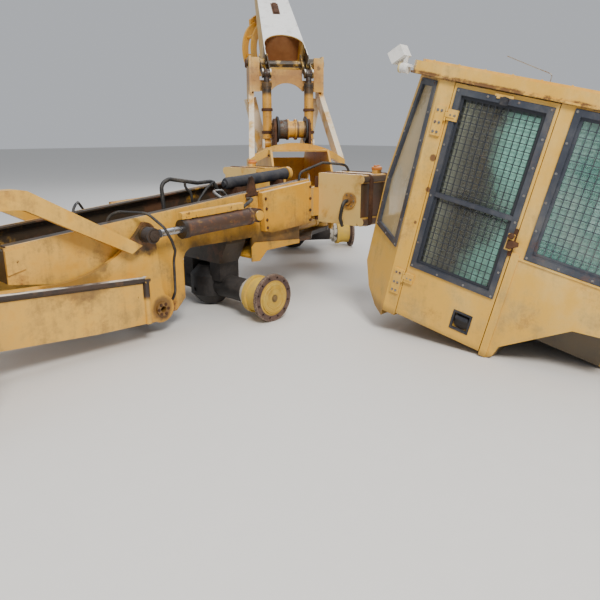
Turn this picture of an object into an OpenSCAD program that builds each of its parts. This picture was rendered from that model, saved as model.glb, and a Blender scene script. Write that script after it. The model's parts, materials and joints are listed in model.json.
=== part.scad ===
// Articulated grapple skidder, stripped for parts: no wheels, no engine, standing on its four hub
// flanges, steered to its stop, with the cab lifted off and set down nose-low beside the frame.
// Axes: X runs rearwards along the front frame, -Y is the machine's left side, Z is up.
// The steering pin stands at x = 0, y = 0 before the whole is centred on its base.

/* [Chassis] */
// Distance from the front axle to the steering pin
axle_to_pin = 1500; // [1450:10:1700]
// Distance from the steering pin to the rear axle
pin_to_axle = 1750; // [1650:10:1900]
// Outside width over the front frame plates
frame_w = 800; // [760:10:820]
// Thickness of the front frame plates
plate_t = 25; // [15:1:35]
// Outside width over the rear frame plates
rear_frame_w = 750; // [700:10:800]
// Thickness of the rear frame plates
rear_plate_t = 25; // [15:1:35]
// Steering angle at which the machine stands
steer_rest = 54; // [50:1:54]
// Diameter of the steering pins
steer_pin_d = 90; // [60:1:110]

/* [Hubs] */
// Distance over the outer faces of two hub flanges
hub_track = 1700; // [1640:10:1800]
// Diameter of a hub flange, on which the machine stands
hub_d = 410; // [390:2:430]
// Thickness of a hub flange
hub_flange_t = 32; // [22:1:45]
// Diameter of the planetary case behind a flange
hub_case_d = 300; // [260:2:320]
// Diameter of the wheel stud circle
stud_circle_d = 350; // [330:1:360]
// Diameter of a wheel stud hole
stud_hole_d = 22; // [16:1:26]
// Number of wheel stud holes
stud_count = 12; // [8:1:16]
// Diameter of the axle spindle in a hub
spindle_d = 180; // [140:2:200]

/* [Blade] */
// Width of the blade
blade_w = 2500; // [2300:10:2800]
// Height of the moldboard
blade_h = 900; // [800:10:1000]
// Distance from the steering pin to the blade pivots
blade_pivot_x = 2350; // [2300:10:2400]
// Height of the blade pivots
blade_pivot_z = 215; // [205:1:240]
// Outside diameter of a blade cylinder
blade_cyl_d = 138; // [110:1:150]
// Diameter of a blade cylinder rod
blade_rod_d = 57; // [45:1:75]

/* [Steering cylinders] */
// Distance from the steering pin forwards to the barrel pins
steer_anchor_x = 800; // [780:5:830]
// Distance of the barrel pins and rod pins from the centre line
steer_cyl_y = 300; // [290:5:310]
// Distance from the steering pin rearwards to the rod pins
steer_rod_x = 350; // [345:5:370]
// Outside diameter of a steering cylinder
steer_cyl_d = 100; // [80:1:104]
// Diameter of a steering cylinder rod
steer_rod_d = 50; // [35:1:60]

/* [Arch and boom] */
// Distance from the steering pin to the boom pivot
boom_pivot_x = 2350; // [2320:10:2400]
// Height of the boom pivot
boom_pivot_z = 2480; // [2400:10:2560]
// Height of the boom at rest, as an angle above level
boom_angle = 37; // [30:1:40]
// Length of the boom from its pivot to the grapple pin
boom_len = 2400; // [2200:10:2600]
// Width of the boom at its base
boom_w = 600; // [560:10:620]
// Width of the boom at its tip
boom_tip_w = 400; // [340:10:440]
// Outside diameter of a boom cylinder
boom_cyl_d = 140; // [120:1:150]
// Diameter of a boom cylinder rod
boom_rod_d = 70; // [50:1:80]
// Overall width over the arch's head
arch_w = 1030; // [1010:10:1080]
// Overall width over the feet of the arch's legs
arch_foot_w = 1240; // [1200:10:1300]

/* [Winch] */
// Diameter of the winch drum
drum_d = 330; // [260:10:350]
// Length of the winch drum over its flanges
drum_len = 400; // [360:10:410]

/* [Grapple] */
// Reach of a tong from its pin to its point
tong_len = 800; // [760:10:820]

/* [Tanks] */
// Length of a side tank
tank_len = 450; // [380:10:460]
// Width of a side tank
tank_w = 560; // [500:10:640]
// Height of a side tank
tank_h = 470; // [400:5:480]

/* [Cab] */
// Width of the cab over its side panels
cab_w = 1250; // [1200:10:1260]
// Height of the cab from the sill to the top of the roof
cab_h = 1860; // [1800:10:1900]
// Nose-down lean of the cab as it stands
cab_lean = 12.7; // [11:0.1:14]
// Thickness of the cab's doors and side panels
cab_wall = 50; // [30:1:60]
// Width of a cab door
door_w = 707; // [690:1:720]
// Clear gap round a cab door
door_gap = 6; // [5:1:10]
// Pitch of the bars in the window guards
guard_pitch = 48; // [40:1:60]
// Thickness of a guard bar
guard_bar = 5; // [4:0.5:6]

/* [Hidden] */
$fn = 64;

yellow = [0.80, 0.58, 0.20];
steel = [0.62, 0.62, 0.64];
rust = [0.42, 0.26, 0.17];
dark = [0.20, 0.19, 0.21];
glass = [0.45, 0.65, 0.60];
worn = [0.85, 0.85, 0.85];

// the ground point under the middle of the whole machine's box, from the steering pin
centre_x = -581.8;
centre_y = -50;

axle_z = hub_d / 2;
run_gap = 0.3;        // radial room of a pin or rod that moves in its bore
part_gap = 5;         // least room between pieces that move past each other
plate_y = frame_w / 2;
rear_y = rear_frame_w / 2;
hub_y = hub_track / 2;

// a solid bar between two points
module bar(p, q, d) {
    v = q - p;
    run = norm([v[0], v[1]]);
    translate(p) rotate([0, 90 - atan2(v[2], run), atan2(v[1], v[0])]) cylinder(h = norm(v), d = d);
}

// a box section between two points, w wide and h deep, standing upright
module beam(p, q, w, h) {
    v = q - p;
    run = norm([v[0], v[1]]);
    translate(p) rotate([0, -atan2(v[2], run), atan2(v[1], v[0])])
        translate([0, -w / 2, -h / 2]) cube([norm(v), w, h]);
}

// an outline in the XZ plane given a thickness from y0 to y0 + t
module upright(y0, t) {
    translate([0, y0 + t, 0]) rotate([90, 0, 0]) linear_extrude(t) children();
}

module both_sides() {
    children();
    mirror([0, 1, 0]) children();
}

module on_base() { translate([-centre_x, -centre_y, 0]) children(); }

// pieces of the rear chassis are drawn straight behind the pin and turned with it
module rear_part() { on_base() rotate([0, 0, steer_rest]) children(); }

// front frame outline, x and z
rail_rear = [-580, 1117];
rail_nose = [-3450, 838];
rail_slope = (rail_rear[1] - rail_nose[1]) / (rail_rear[0] - rail_nose[0]);
arch_front_x = -2080;   // front edge of the opening over the axle
arch_rear_x = -1330;
arch_top_z = 650;
arch_round = 100;
lobe_z = 150;           // bottom of the lobe that carries the blade pivot
frame_outline = [rail_rear, rail_nose, [rail_nose[0], 600], [-2850, 500], [-2560, lobe_z],
                 [arch_front_x - 90, lobe_z], [arch_front_x, lobe_z + 90], [arch_front_x, arch_top_z - arch_round],
                 [arch_front_x + arch_round, arch_top_z], [arch_rear_x, arch_top_z],
                 [arch_rear_x, 470], [-1180, 540], [-720, 540], [-720, 705], [rail_rear[0], 745]];

// upright lugs and pins of the two hinge levels: bottom of the front lug, of the rear lug
hinge_front_z = [530, 940];
hinge_lug_t = 40;
hinge_gap = 5;
hinge_round = 110;
hinge_rear_z = [hinge_front_z[0] + hinge_lug_t + hinge_gap, hinge_front_z[1] - hinge_lug_t - hinge_gap];
steer_z = 640;          // height of the steering cylinders
steer_pin2_d = 50;      // pins of the steering cylinders
steer_eye_t = 60;

module frame_outline_2d() {
    difference() {
        polygon(frame_outline);
        // the opening's front upper corner is round
        translate([arch_front_x + arch_round, arch_top_z - arch_round]) circle(arch_round);
    }
}

module frame_plates() {
    color(yellow) on_base() {
        both_sides() {
            difference() {
                upright(plate_y - plate_t, plate_t) frame_outline_2d();
                // bore of the blade pivot
                translate([-blade_pivot_x, plate_y - plate_t - 1, blade_pivot_z]) rotate([-90, 0, 0])
                    cylinder(h = plate_t + 2, d = blade_shaft_d);
            }
            // flat capping along the top rail
            beam([rail_nose[0] + 15, plate_y - 50, rail_nose[1] + 15 * rail_slope + cap_t / 2 - 3],
                 [rail_rear[0], plate_y - 50, rail_rear[1] + cap_t / 2 - 3], 96, cap_t);
            // raised side panel over the rear of the frame
            upright(plate_y, side_panel_t)
                polygon([[-1255, 1045], [-620, 1108], [-620, 715], [-1140, 680], [-1215, 700]]);
            // doubler on the nose
            upright(plate_y, 12) polygon([[rail_nose[0], 820], [-3330, 832], [-3330, 690], [rail_nose[0], 660]]);
            // bracket of the barrel pin
            cyl_lug(blade_cap, blade_cyl_y);
        }
    }
}
cap_t = 12;
saddle_low = 430;
side_panel_t = 62;
blade_shaft_d = 110;

// blade cylinder pins, x and z, and the lift linkage
blade_cap = [-1400, 870];
blade_eye = [-2450, 820];
blade_cyl_y = plate_y + 130;
blade_pin_d = 60;
blade_eye_t = 80;
blade_barrel_len = 780;
blade_reach = norm(blade_eye - blade_cap);
blade_tilt = atan2(blade_eye[1] - blade_cap[1], blade_cap[0] - blade_eye[0]);

// a boss and a pin standing out of the frame plate to carry a cylinder's barrel
module cyl_lug(at, y) {
    translate([at[0], plate_y, at[1]]) rotate([-90, 0, 0]) {
        cylinder(h = y - blade_eye_t / 2 - part_gap - plate_y, d = 124);
        cylinder(h = y + blade_eye_t / 2 + 22 - plate_y, d = blade_pin_d);
        translate([0, 0, y + blade_eye_t / 2 + part_gap - plate_y]) cylinder(h = 16, d = blade_pin_d + 26);
    }
}

module frame_cross() {
    inner = plate_y - plate_t;
    color(yellow) on_base() {
        // nose plate and front tie
        translate([rail_nose[0], -inner, 600]) cube([25, 2 * inner, 215]);
        translate([-2850, -inner, 520]) cube([120, 2 * inner, 90]);
        // saddle that hangs between the plates and takes the axle's pads
        translate([-axle_to_pin - 110, 0, 0]) rotate([90, 0, 90]) linear_extrude(220) difference() {
            polygon([[-inner, 760], [-inner, 620], [-270, saddle_low], [270, saddle_low], [inner, 620], [inner, 760]]);
            translate([0, 640]) circle(80);
        }
        // tie tube across the lobes, carrying the blade pivots
        difference() {
            translate([-blade_pivot_x, -inner, blade_pivot_z]) rotate([-90, 0, 0]) cylinder(h = 2 * inner, d = 170);
            translate([-blade_pivot_x, -inner - 1, blade_pivot_z]) rotate([-90, 0, 0])
                cylinder(h = 2 * inner + 2, d = blade_shaft_d);
        }
    }
}

// front half of the steering hinge, welded between the plates
module frame_hinge() {
    inner = plate_y - plate_t;
    color(yellow) on_base() {
        // the two levels of the hinge
        for (z = hinge_front_z) difference() {
            translate([0, 0, z]) linear_extrude(hinge_lug_t) difference() {
                union() {
                    circle(hinge_round);
                    polygon([[0, -hinge_round], [-330, -210], [-520, -inner], [-980, -inner],
                             [-980, inner], [-520, inner], [-330, 210], [0, hinge_round]]);
                }
                translate([-700, 0]) circle(120);
            }
            translate([0, 0, z - 1]) cylinder(h = hinge_lug_t + 2, d = steer_pin_d + 2 * run_gap);
        }
        // anchors of the steering cylinders on the lower level
        both_sides() {
            z0 = hinge_front_z[0] + hinge_lug_t;
            z1 = steer_z + steer_eye_t / 2 + 12;
            translate([-steer_anchor_x, steer_cyl_y, z0]) cylinder(h = z1 - z0 + 18, d = steer_pin2_d);
            translate([-steer_anchor_x - 125, steer_cyl_y - 50, z0]) cube([40, 100, z1 - z0 + 18]);
            translate([0, 0, z1]) linear_extrude(18) union() {
                translate([-steer_anchor_x, steer_cyl_y]) circle(50);
                translate([-steer_anchor_x - 125, steer_cyl_y - 50]) square([125, 100]);
            }
        }
    }
}

// pan under the rear half of the frame
module belly_guard() {
    inner = plate_y - plate_t - 0.5;
    color(yellow) on_base() {
        // pan between the plates, and lips outside them along their lower edge
        upright(-inner, 2 * inner) polygon([[-1328, 452], [-1328, 470], [-1175, 539], [-1000, 539], [-1000, 524], [-1170, 524]]);
        both_sides() upright(plate_y, 12)
            polygon([[-1345, 430], [-1345, 560], [-1300, 600], [-730, 560], [-730, 525], [-1160, 512], [-1250, 425]]);
    }
}

// banjo housing with its tubes, from spindle to spindle, and the pads under the frame
module axle_casting(x, pad_z, pad_y) {
    tube_end = hub_y - hub_flange_t - 200;
    translate([x, 0, axle_z]) {
        difference() {
            union() {
                rotate([90, 0, 0]) cylinder(h = 2 * tube_end, d = 210, center = true);
                rotate_extrude() polygon([[0, -178], [110, -178], [190, -90], [190, 90], [110, 178], [0, 178]]);
                for (s = [-1, 1]) {
                    translate([0, s * tube_end, 0]) rotate([-s * 90, 0, 0]) {
                        translate([0, 0, -45]) cylinder(h = 45, d = 280);
                        cylinder(h = 195, d = spindle_d);
                    }
                    translate([-110, s * pad_y - 70, 60]) cube([220, 140, pad_z - axle_z - 60]);
                }
            }
            // oil plug recess
            translate([-200, 0, -40]) rotate([0, 90, 0]) cylinder(h = 30, d = 40);
        }
    }
}

module front_axle() {
    color(rust) on_base() axle_casting(-axle_to_pin, saddle_low, 200);
}

// transmission case left between the frame plates
module gearbox() {
    color(rust) on_base() {
        translate([-1250, 0, 0]) difference() {
            union() {
                translate([0, -190, 585]) cube([200, 380, 280]);
                translate([0, 0, 730]) rotate([0, -90, 0]) cylinder(h = 110, d1 = 270, d2 = 330);
                translate([200, 0, 680]) rotate([0, 90, 0]) cylinder(h = 70, d = 150);
                translate([20, -150, 865]) cube([160, 300, 45]);
            }
            translate([-111, 0, 730]) rotate([0, 90, 0]) cylinder(h = 60, d = 120);
        }
        // feet out to the frame plates
        for (s = [-1, 1]) translate([-1200, s > 0 ? 189 : -plate_y + plate_t, 610]) cube([90, plate_y - plate_t - 189, 40]);
    }
}

tank_y = plate_y + 50;     // inboard end of a side tank

module tank() {
    tank_z = 715;
    round = 40;
    sender = [tank_y + 0.70 * tank_w, tank_h - 238];
    translate([-500, 0, tank_z]) {
        translate([0, tank_y, round]) cube([tank_len, tank_w - round, tank_h - round]);
        translate([0, tank_y, 0]) cube([tank_len, tank_w - 2 * round, tank_h]);
        for (z = [round, tank_h - round])
            translate([0, tank_y + tank_w - round - 1, z]) rotate([0, 90, 0]) cylinder(h = tank_len, r = round);
        // bracket to the frame plate
        translate([-80, plate_y - plate_t, 60]) cube([160, tank_y - plate_y + plate_t + 5, 270]);
        // filler neck near the outboard rear, and the sender flange with its neck on the front face
        translate([tank_len - 110, tank_y + tank_w - 120, tank_h - 1]) cylinder(h = 31, d = 90);
        translate([-14, sender[0], sender[1]]) rotate([0, 90, 0]) cylinder(h = 15, d = 150);
        translate([-40, sender[0], sender[1]]) rotate([0, 90, 0]) cylinder(h = 27, d = 72);
    }
}

module tank_left() { color(yellow) on_base() mirror([0, 1, 0]) tank(); }

module tank_right() { color(yellow) on_base() tank(); }

// planetary hub: case, wheel flange with its stud holes, cover and centre plug, facing +Z at the outer face
module hub() {
    flange_back = -hub_flange_t;
    difference() {
        union() {
            translate([0, 0, flange_back]) cylinder(h = hub_flange_t, d = hub_d, $fn = 96);
            translate([0, 0, -200]) cylinder(h = 201 - hub_flange_t, d = hub_case_d);
            translate([0, 0, -230 + 0.5]) cylinder(h = 40, d = hub_case_d + 30);
            // cover and plug stand a little proud of the flange
            cylinder(h = 12, d1 = 276, d2 = 268);
            cylinder(h = 20, d = 46);
        }
        translate([0, 0, -300]) cylinder(h = 300 - 25, d = spindle_d + 2 * run_gap);
        for (i = [0 : stud_count - 1]) rotate([0, 0, (i + 0.5) * 360 / stud_count])
            translate([stud_circle_d / 2, 0, flange_back - 1]) cylinder(h = hub_flange_t + 2, d = stud_hole_d, $fn = 24);
    }
}

module hub_at(x, side) {
    translate([x, side * hub_y, axle_z]) rotate([-side * 90, 0, 0]) hub();
}

module hub_front_left() { color(yellow) on_base() hub_at(-axle_to_pin, -1); }

module hub_front_right() { color(yellow) on_base() hub_at(-axle_to_pin, 1); }

module hub_rear_left() { color(yellow) rear_part() hub_at(pin_to_axle, -1); }

module hub_rear_right() { color(yellow) rear_part() hub_at(pin_to_axle, 1); }

// blade: a curved board with ribs behind it, its edge, and the two push arms with their hoops
board_x = -3850;        // back of the moldboard
board_z = 240;          // its lower edge
board_t = 22;
board_round = 700;

module moldboard() {
    color(yellow) on_base() {
        difference() {
            translate([board_x - 60, -blade_w / 2, board_z + blade_h / 2]) rotate([-90, 0, 0]) difference() {
                translate([-board_round, 0, 0]) cylinder(h = blade_w, r = board_round, $fn = 128);
                translate([-board_round, 0, -1]) cylinder(h = blade_w + 2, r = board_round - board_t, $fn = 128);
            }
            translate([board_x - 2 * board_round - 100, -blade_w, board_z + blade_h]) cube([2 * board_round + 200, 2 * blade_w, board_round]);
            translate([board_x - 2 * board_round - 100, -blade_w, board_z - board_round]) cube([2 * board_round + 200, 2 * blade_w, board_round]);
            translate([board_x - 2 * board_round - 100, -blade_w, 0]) cube([board_round, 2 * blade_w, 2 * blade_h]);
        }
        // top and bottom rails behind the board, and end plates
        translate([board_x - 190, -blade_w / 2, board_z + blade_h - 70]) cube([90, blade_w, 60]);
        translate([board_x - 190, -blade_w / 2, board_z + 60]) cube([90, blade_w, 90]);
        for (y = [-blade_w / 2, blade_w / 2 - 20]) upright(y, 20)
            polygon([[board_x - 235, board_z + 5], [board_x - 90, board_z + 5], [board_x - 62, board_z + blade_h / 2],
                     [board_x - 90, board_z + blade_h], [board_x - 235, board_z + blade_h],
                     [board_x - 150, board_z + blade_h / 2]]);
        // ribs that seat the arms
        for (y = [-630, -470, 420, 580]) upright(y, 50)
            polygon([[board_x, board_z + 20], [board_x, board_z + 760], [board_x - 70, board_z + 800],
                     [board_x - 130, board_z + blade_h - 40], [board_x - 70, board_z + blade_h / 2],
                     [board_x - 110, board_z + 90]]);
    }
}

// hollow face of the board at a height
function board_in(z) = board_x - 60 - board_round + sqrt(pow(board_round - board_t, 2) - pow(z - board_z - blade_h / 2, 2));

module cutting_edge() {
    // bolted flat against the hollow of the board, between its end plates
    low = [board_in(board_z), board_z];
    top = [board_in(board_z + 61), board_z + 61];
    run = (low - top) / norm(low - top);
    out = [run[1], -run[0]];
    color(steel) on_base() upright(-blade_w / 2 + 21, blade_w - 42)
        polygon([top, top + 218 * run, top + 218 * run + 20 * out, top + 20 * out]);
}

arm_y = plate_y + 20;   // inner face of the arm plate
arm_t = 40;
hoop_y = arm_y + arm_t - 20;
hoop_w = 100;
hoop_h = 122;
side_box_x = -2545;      // rear end of the side box
pipe_d = 46;

module blade_arm() {
    difference() {
        union() {
            upright(arm_y, arm_t) difference() {
                union() {
                    polygon([blade_eye + [-70, 50], [-2575, 791], [-2664, 713], [-3160, 559], [board_x, 590],
                             [board_x, 270], [-3000, 190], [-2480, 120], [-2340, 120], [-2260, 200],
                             [-2330, 370], blade_eye + [82, -40]]);
                    translate(blade_eye) circle(90);
                    translate([-blade_pivot_x, blade_pivot_z]) circle(112);
                }
                // hollow sweep in front of the ear
                translate([-3160, 559 + 876]) circle(876, $fn = 240);
            }
            // hoop over the front: sloping limb, bend and level limb
            upright(hoop_y, hoop_w) {
                polygon([[-2618, 704], [-2528, 753.6], [-3310, 1203], [-3380, 1214], [board_x, 1214],
                         [board_x, 1214 - hoop_h], [-3395, 1214 - hoop_h], [-3340, 1084]]);
            }
            // lower side box with its pipe edging
            upright(arm_y + arm_t, 115)
                polygon([[side_box_x, 165], [side_box_x, 505], [board_x, 585], [board_x, 245], [-2960, 178]]);
            bar([side_box_x, arm_y + arm_t + 115, 505], [board_x + 3, arm_y + arm_t + 115, 584.8], pipe_d);
            bar([side_box_x, arm_y + arm_t + 115, 165], [side_box_x, arm_y + arm_t + 115, 505], pipe_d);
            translate([side_box_x, arm_y + arm_t + 115, 505]) rotate([90, 0, 0])
                cylinder(h = pipe_d + 6, d = pipe_d + 6, center = true);
            // rod pin boss behind the eye
            translate([blade_eye[0], arm_y + arm_t - 1, blade_eye[1]]) rotate([-90, 0, 0])
                cylinder(h = blade_cyl_y - blade_eye_t / 2 - part_gap - arm_y - arm_t + 1, d = 120);
        }
        // room inside the side box, open to the blade
        translate([board_x - 1, arm_y + arm_t + 14, 262]) cube([1160, 87, 240]);
        // pivot shaft end
        translate([-blade_pivot_x, arm_y - 1, blade_pivot_z]) rotate([-90, 0, 0])
            cylinder(h = arm_t + 2, d = 60);
    }
    // pivot shaft, turning in the frame plate
    translate([-blade_pivot_x, plate_y - plate_t - 60, blade_pivot_z]) rotate([-90, 0, 0])
        difference() {
            cylinder(h = arm_y + arm_t + 25 - plate_y + plate_t + 60, d = blade_shaft_d - 2 * run_gap);
            translate([0, 0, -1]) cylinder(h = 400, d = 50);
        }
}

module blade_arm_right() { color(yellow) on_base() blade_arm(); }

module blade_arm_left() { color(yellow) on_base() mirror([0, 1, 0]) blade_arm(); }

// cylinder barrel along +X from its eye at the origin, pin axis along Y; open at the gland end
module barrel(len, od, rod, eye_d, pin, eye_t) {
    difference() {
        union() {
            rotate([90, 0, 0]) cylinder(h = eye_t, d = eye_d, center = true);
            translate([0, -eye_t / 2 + 8, -eye_d * 0.32]) cube([eye_d * 0.62, eye_t - 16, eye_d * 0.64]);
            translate([eye_d * 0.58, 0, 0]) rotate([0, 90, 0]) cylinder(h = len - eye_d * 0.58 - 40, d = od);
            translate([len - 60, 0, 0]) rotate([0, 90, 0]) cylinder(h = 60, d = od + 12);
            translate([eye_d * 0.58, 0, 0]) rotate([0, 90, 0]) cylinder(h = 26, d = od + 8);
        }
        rotate([90, 0, 0]) cylinder(h = eye_t + 2, d = pin + 2 * run_gap, center = true);
        translate([eye_d * 0.58 + 30, 0, 0]) rotate([0, 90, 0]) cylinder(h = len, d = rod + 2 * run_gap);
    }
}

// rod along +X: eye with its own pin at reach, shank back to the inner end
module rod(reach, inner, d, eye_d, pin, eye_t) {
    translate([inner, 0, 0]) rotate([0, 90, 0]) cylinder(h = reach - inner - eye_d * 0.3, d = d);
    translate([reach, 0, 0]) rotate([90, 0, 0]) {
        cylinder(h = eye_t, d = eye_d, center = true);
        cylinder(h = eye_t + 6, d = pin, center = true);
    }
    translate([reach - eye_d * 0.5 - 34, 0, 0]) rotate([0, 90, 0]) cylinder(h = 40, d = d + 8);
}

module blade_cyl_place() {
    both_sides() translate([blade_cap[0], blade_cyl_y, blade_cap[1]]) rotate([0, 180 + blade_tilt, 0]) children();
}

module blade_barrels() {
    color(yellow) on_base() blade_cyl_place() {
        barrel(blade_barrel_len, blade_cyl_d, blade_rod_d, 120, blade_pin_d, blade_eye_t);
        // oil gallery along the top, on two feet
        translate([150, 0, -blade_cyl_d / 2 - 35]) rotate([90, 0, 90]) linear_extrude(blade_barrel_len - 155)
            polygon([[-24, -18], [-16, -26], [16, -26], [24, -18], [24, 26], [-24, 26]]);
        for (x = [200, 620]) translate([x, -14, -blade_cyl_d / 2 - 30]) cube([40, 28, 36]);
    }
}

module blade_rods() {
    color(steel) on_base() blade_cyl_place()
        rod(blade_reach, 260, blade_rod_d, 116, blade_pin_d, blade_eye_t);
}

// rear chassis
deck_z = 1350;
rear_outline = [[480, 615], [480, 905], [760, 935], [1150, deck_z], [2620, deck_z], [2750, 1200], [2750, 560],
                [2450, 385], [900, 385], [700, 600]];
neck_front = 115;

module rear_frame() {
    inner = rear_y - rear_plate_t;
    color(yellow) rear_part() {
        // side plates, with a round lightening hole behind the axle
        both_sides() difference() {
            upright(inner, rear_plate_t) polygon(rear_outline);
            translate([2380, inner - 1, 860]) rotate([-90, 0, 0]) cylinder(h = rear_plate_t + 2, d = 260);
        }
        // neck: upper and lower hinge plates and a tapered box between them
        for (i = [0, 1]) {
            z = hinge_rear_z[i];
            difference() {
                translate([0, 0, z]) linear_extrude(hinge_lug_t) union() {
                    circle(hinge_round - 10);
                    polygon([[0, -hinge_round + 10], [150, -95], [560, -inner], [820, -inner], [820, inner],
                             [560, inner], [150, 95], [0, hinge_round - 10]]);
                }
            }
        }
        z_neck = hinge_rear_z[0] + hinge_lug_t;
        translate([0, 0, z_neck]) linear_extrude(hinge_rear_z[1] - z_neck) difference() {
            polygon([[neck_front + 40, -70], [480, -250], [560, -inner - 10], [590, -inner - 10], [590, inner + 10],
                     [560, inner + 10], [480, 250], [neck_front + 40, 70]]);
            polygon([[neck_front + 75, -50], [480, -222], [591, -inner + 8], [591, inner - 8], [480, 222],
                     [neck_front + 75, 50]]);
        }
        // hinge pins, standing out through the front lugs
        translate([0, 0, hinge_front_z[0] - 15]) cylinder(h = hinge_lug_t + hinge_gap + 40, d = steer_pin_d);
        translate([0, 0, hinge_rear_z[1] + 10]) cylinder(h = hinge_lug_t + hinge_gap + 50, d = steer_pin_d);
        // ears of the steering rods
        both_sides() for (z = [steer_z - steer_eye_t / 2 - 12 - 16, steer_z + steer_eye_t / 2 + 12])
            translate([0, 0, z]) linear_extrude(16) union() {
                translate([steer_rod_x, steer_cyl_y]) circle(52);
                polygon([[steer_rod_x - 25, steer_cyl_y + 45], [steer_rod_x + 25, steer_cyl_y - 45],
                         [470, 240], [590, inner + 1], [500, rear_y + 10]]);
            }
        // deck, front and rear cross plates
        translate([1150, -inner - 1, deck_z - 20]) cube([1470, 2 * inner + 2, 20]);
        translate([760, -inner - 1, 640]) cube([22, 2 * inner + 2, 290]);
        translate([2728, -inner - 1, 562]) cube([22, 2 * inner + 2, 638]);
        translate([1150, -inner - 1, 385]) cube([1250, 2 * inner + 2, 18]);
        // saddle across the front of the deck that spreads to the arch's feet
        upright_saddle();
    }
}

saddle_x = 1330;
saddle_depth = 260;
saddle_top = 1430;
saddle_rise = 210;
saddle_half = arch_foot_w / 2 + 10;
saddle_round = (saddle_half * saddle_half + saddle_rise * saddle_rise) / (2 * saddle_rise);

// curved plate beam, highest in the middle
module upright_saddle() {
    half = saddle_half;
    r = saddle_round;
    top = saddle_top;
    translate([saddle_x, 0, 0]) rotate([90, 0, 90]) linear_extrude(saddle_depth) difference() {
        intersection() {
            translate([0, top - r]) circle(r, $fn = 200);
            translate([-half, 1060]) square([2 * half, 400]);
        }
        translate([0, top - r - 90]) circle(r, $fn = 200);
        translate([-rear_y, 900]) square([2 * rear_y, deck_z - 20 - 900]);
    }
}

module rear_axle() {
    color(rust) rear_part() axle_casting(pin_to_axle, 385, 200);
}

head_x = [2140, 2560];
head_z = [2090, 2560];
head_t = 30;
head_front_w = 110;      // width of the plates that face forwards beside the boom cylinders
boom_cyl_foot = [2050, 1415];
boom_cyl_y = 290;
boom_ear = [-270, -150];     // rod pin from the boom pivot, at rest
boom_pin_d = 80;

module arch() {
    side = arch_w / 2;
    foot = arch_foot_w / 2 - 40;
    color(yellow) rear_part() {
        both_sides() {
            // head plate with the boom bearing
            difference() {
                upright(side - head_t, head_t)
                    polygon([[head_x[0], head_z[0]], [head_x[0] + 20, head_z[1]], [head_x[1] - 120, head_z[1]],
                             [head_x[1], head_z[1] - 160], [head_x[1] + 20, head_z[0] - 120], [head_x[0] + 60, head_z[0] - 120]]);
                translate([boom_pivot_x, 0, boom_pivot_z]) rotate([-90, 0, 0]) cylinder(h = side + 1, d = boom_pin_d + 2 * run_gap);
            }
            // front plate of the head, beside the boom cylinder
            translate([head_x[0] + 3, side - head_t - head_front_w + 1, head_z[0] + 10])
                cube([22, head_front_w, head_z[1] - head_z[0] - 30]);
            // legs: a raking front leg from the saddle and a rear leg from the deck's end
            difference() {
                union() {
                    beam([saddle_x + 50, foot, 1183], [head_x[0] + 120, side - 35, head_z[0] - 40], 70, 150);
                    beam([2544, rear_y - 64, deck_z - 40], [2480, side - 35, head_z[0] - 60], 70, 160);
                }
                translate([saddle_x - 200, 0, 0]) rotate([90, 0, 90]) linear_extrude(saddle_depth + 300)
                    translate([0, saddle_top - saddle_round]) circle(saddle_round, $fn = 200);
                translate([2300, 0, deck_z - 300]) cube([500, rear_y, 300]);
            }
        }
        // crosspiece with an arched lower edge between the heads
        translate([head_x[0] + 25, 0, 0]) rotate([90, 0, 90]) linear_extrude(30) difference() {
            union() {
                translate([-side + head_t - 1, 2110]) square([2 * side - 2 * head_t + 2, 140]);
                translate([-215, 2200]) square([430, 190]);
            }
            translate([0, 1935]) circle(280, $fn = 120);
        }
        // feet of the boom cylinders on the deck
        for (s = [-1, 1]) for (e = [-1, 1]) difference() {
            upright(s * boom_cyl_y + e * 58 - 12, 24) union() {
                translate(boom_cyl_foot) circle(62);
                translate([boom_cyl_foot[0] - 62, deck_z]) square([124, boom_cyl_foot[1] - deck_z]);
            }
        }
        for (s = [-1, 1]) translate([boom_cyl_foot[0], s * boom_cyl_y - 70, boom_cyl_foot[1]]) rotate([-90, 0, 0])
            cylinder(h = 140, d = 60);
    }
}

winch_x = 1800;
winch_z = 1600;

module winch_case() {
    half = drum_len / 2 + 15;
    color(rust) rear_part() {
        for (s = [-1, 1]) difference() {
            translate([0, s * half + (s < 0 ? -30 : 0), 0]) upright(0, 30) union() {
                translate([winch_x, winch_z]) circle(140);
                polygon([[winch_x - 170, deck_z], [winch_x - 120, winch_z + 60], [winch_x + 120, winch_z + 60],
                         [winch_x + 150, deck_z]]);
            }
            translate([winch_x, -400, winch_z]) rotate([-90, 0, 0]) cylinder(h = 800, d = 80 + 2 * run_gap);
        }
        // base plate under the drum
        translate([winch_x - 110, -half - 1, deck_z]) cube([240, 2 * half + 2, 40]);
    }
}

module winch_drum() {
    color(yellow) rear_part() translate([winch_x, 0, winch_z]) rotate([90, 0, 0]) {
        difference() {
            union() {
                cylinder(h = drum_len, d = drum_d - 110, center = true);
                for (z = [-drum_len / 2, drum_len / 2 - 20]) translate([0, 0, z]) cylinder(h = 20, d = drum_d);
                for (z = [-70, 40]) translate([0, 0, z]) cylinder(h = 30, d = drum_d - 60);
            }
        }
        cylinder(h = drum_len + 90, d = 80, center = true);
    }
}

// steering cylinders: both ends' places in the machine's frame with the rear chassis at its stop
function turned(p, a) = [p[0] * cos(a) - p[1] * sin(a), p[0] * sin(a) + p[1] * cos(a)];
steer_barrel_len = 680;
steer_rod_total = 690;

module steer_place(side) {
    p = [-steer_anchor_x, side * steer_cyl_y];
    q = turned([steer_rod_x, side * steer_cyl_y], steer_rest);
    translate([p[0], p[1], steer_z]) rotate([0, 0, atan2(q[1] - p[1], q[0] - p[0])]) rotate([90, 0, 0]) children();
}

function steer_reach(side) = norm(turned([steer_rod_x, side * steer_cyl_y], steer_rest)
                                  - [-steer_anchor_x, side * steer_cyl_y]);

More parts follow.
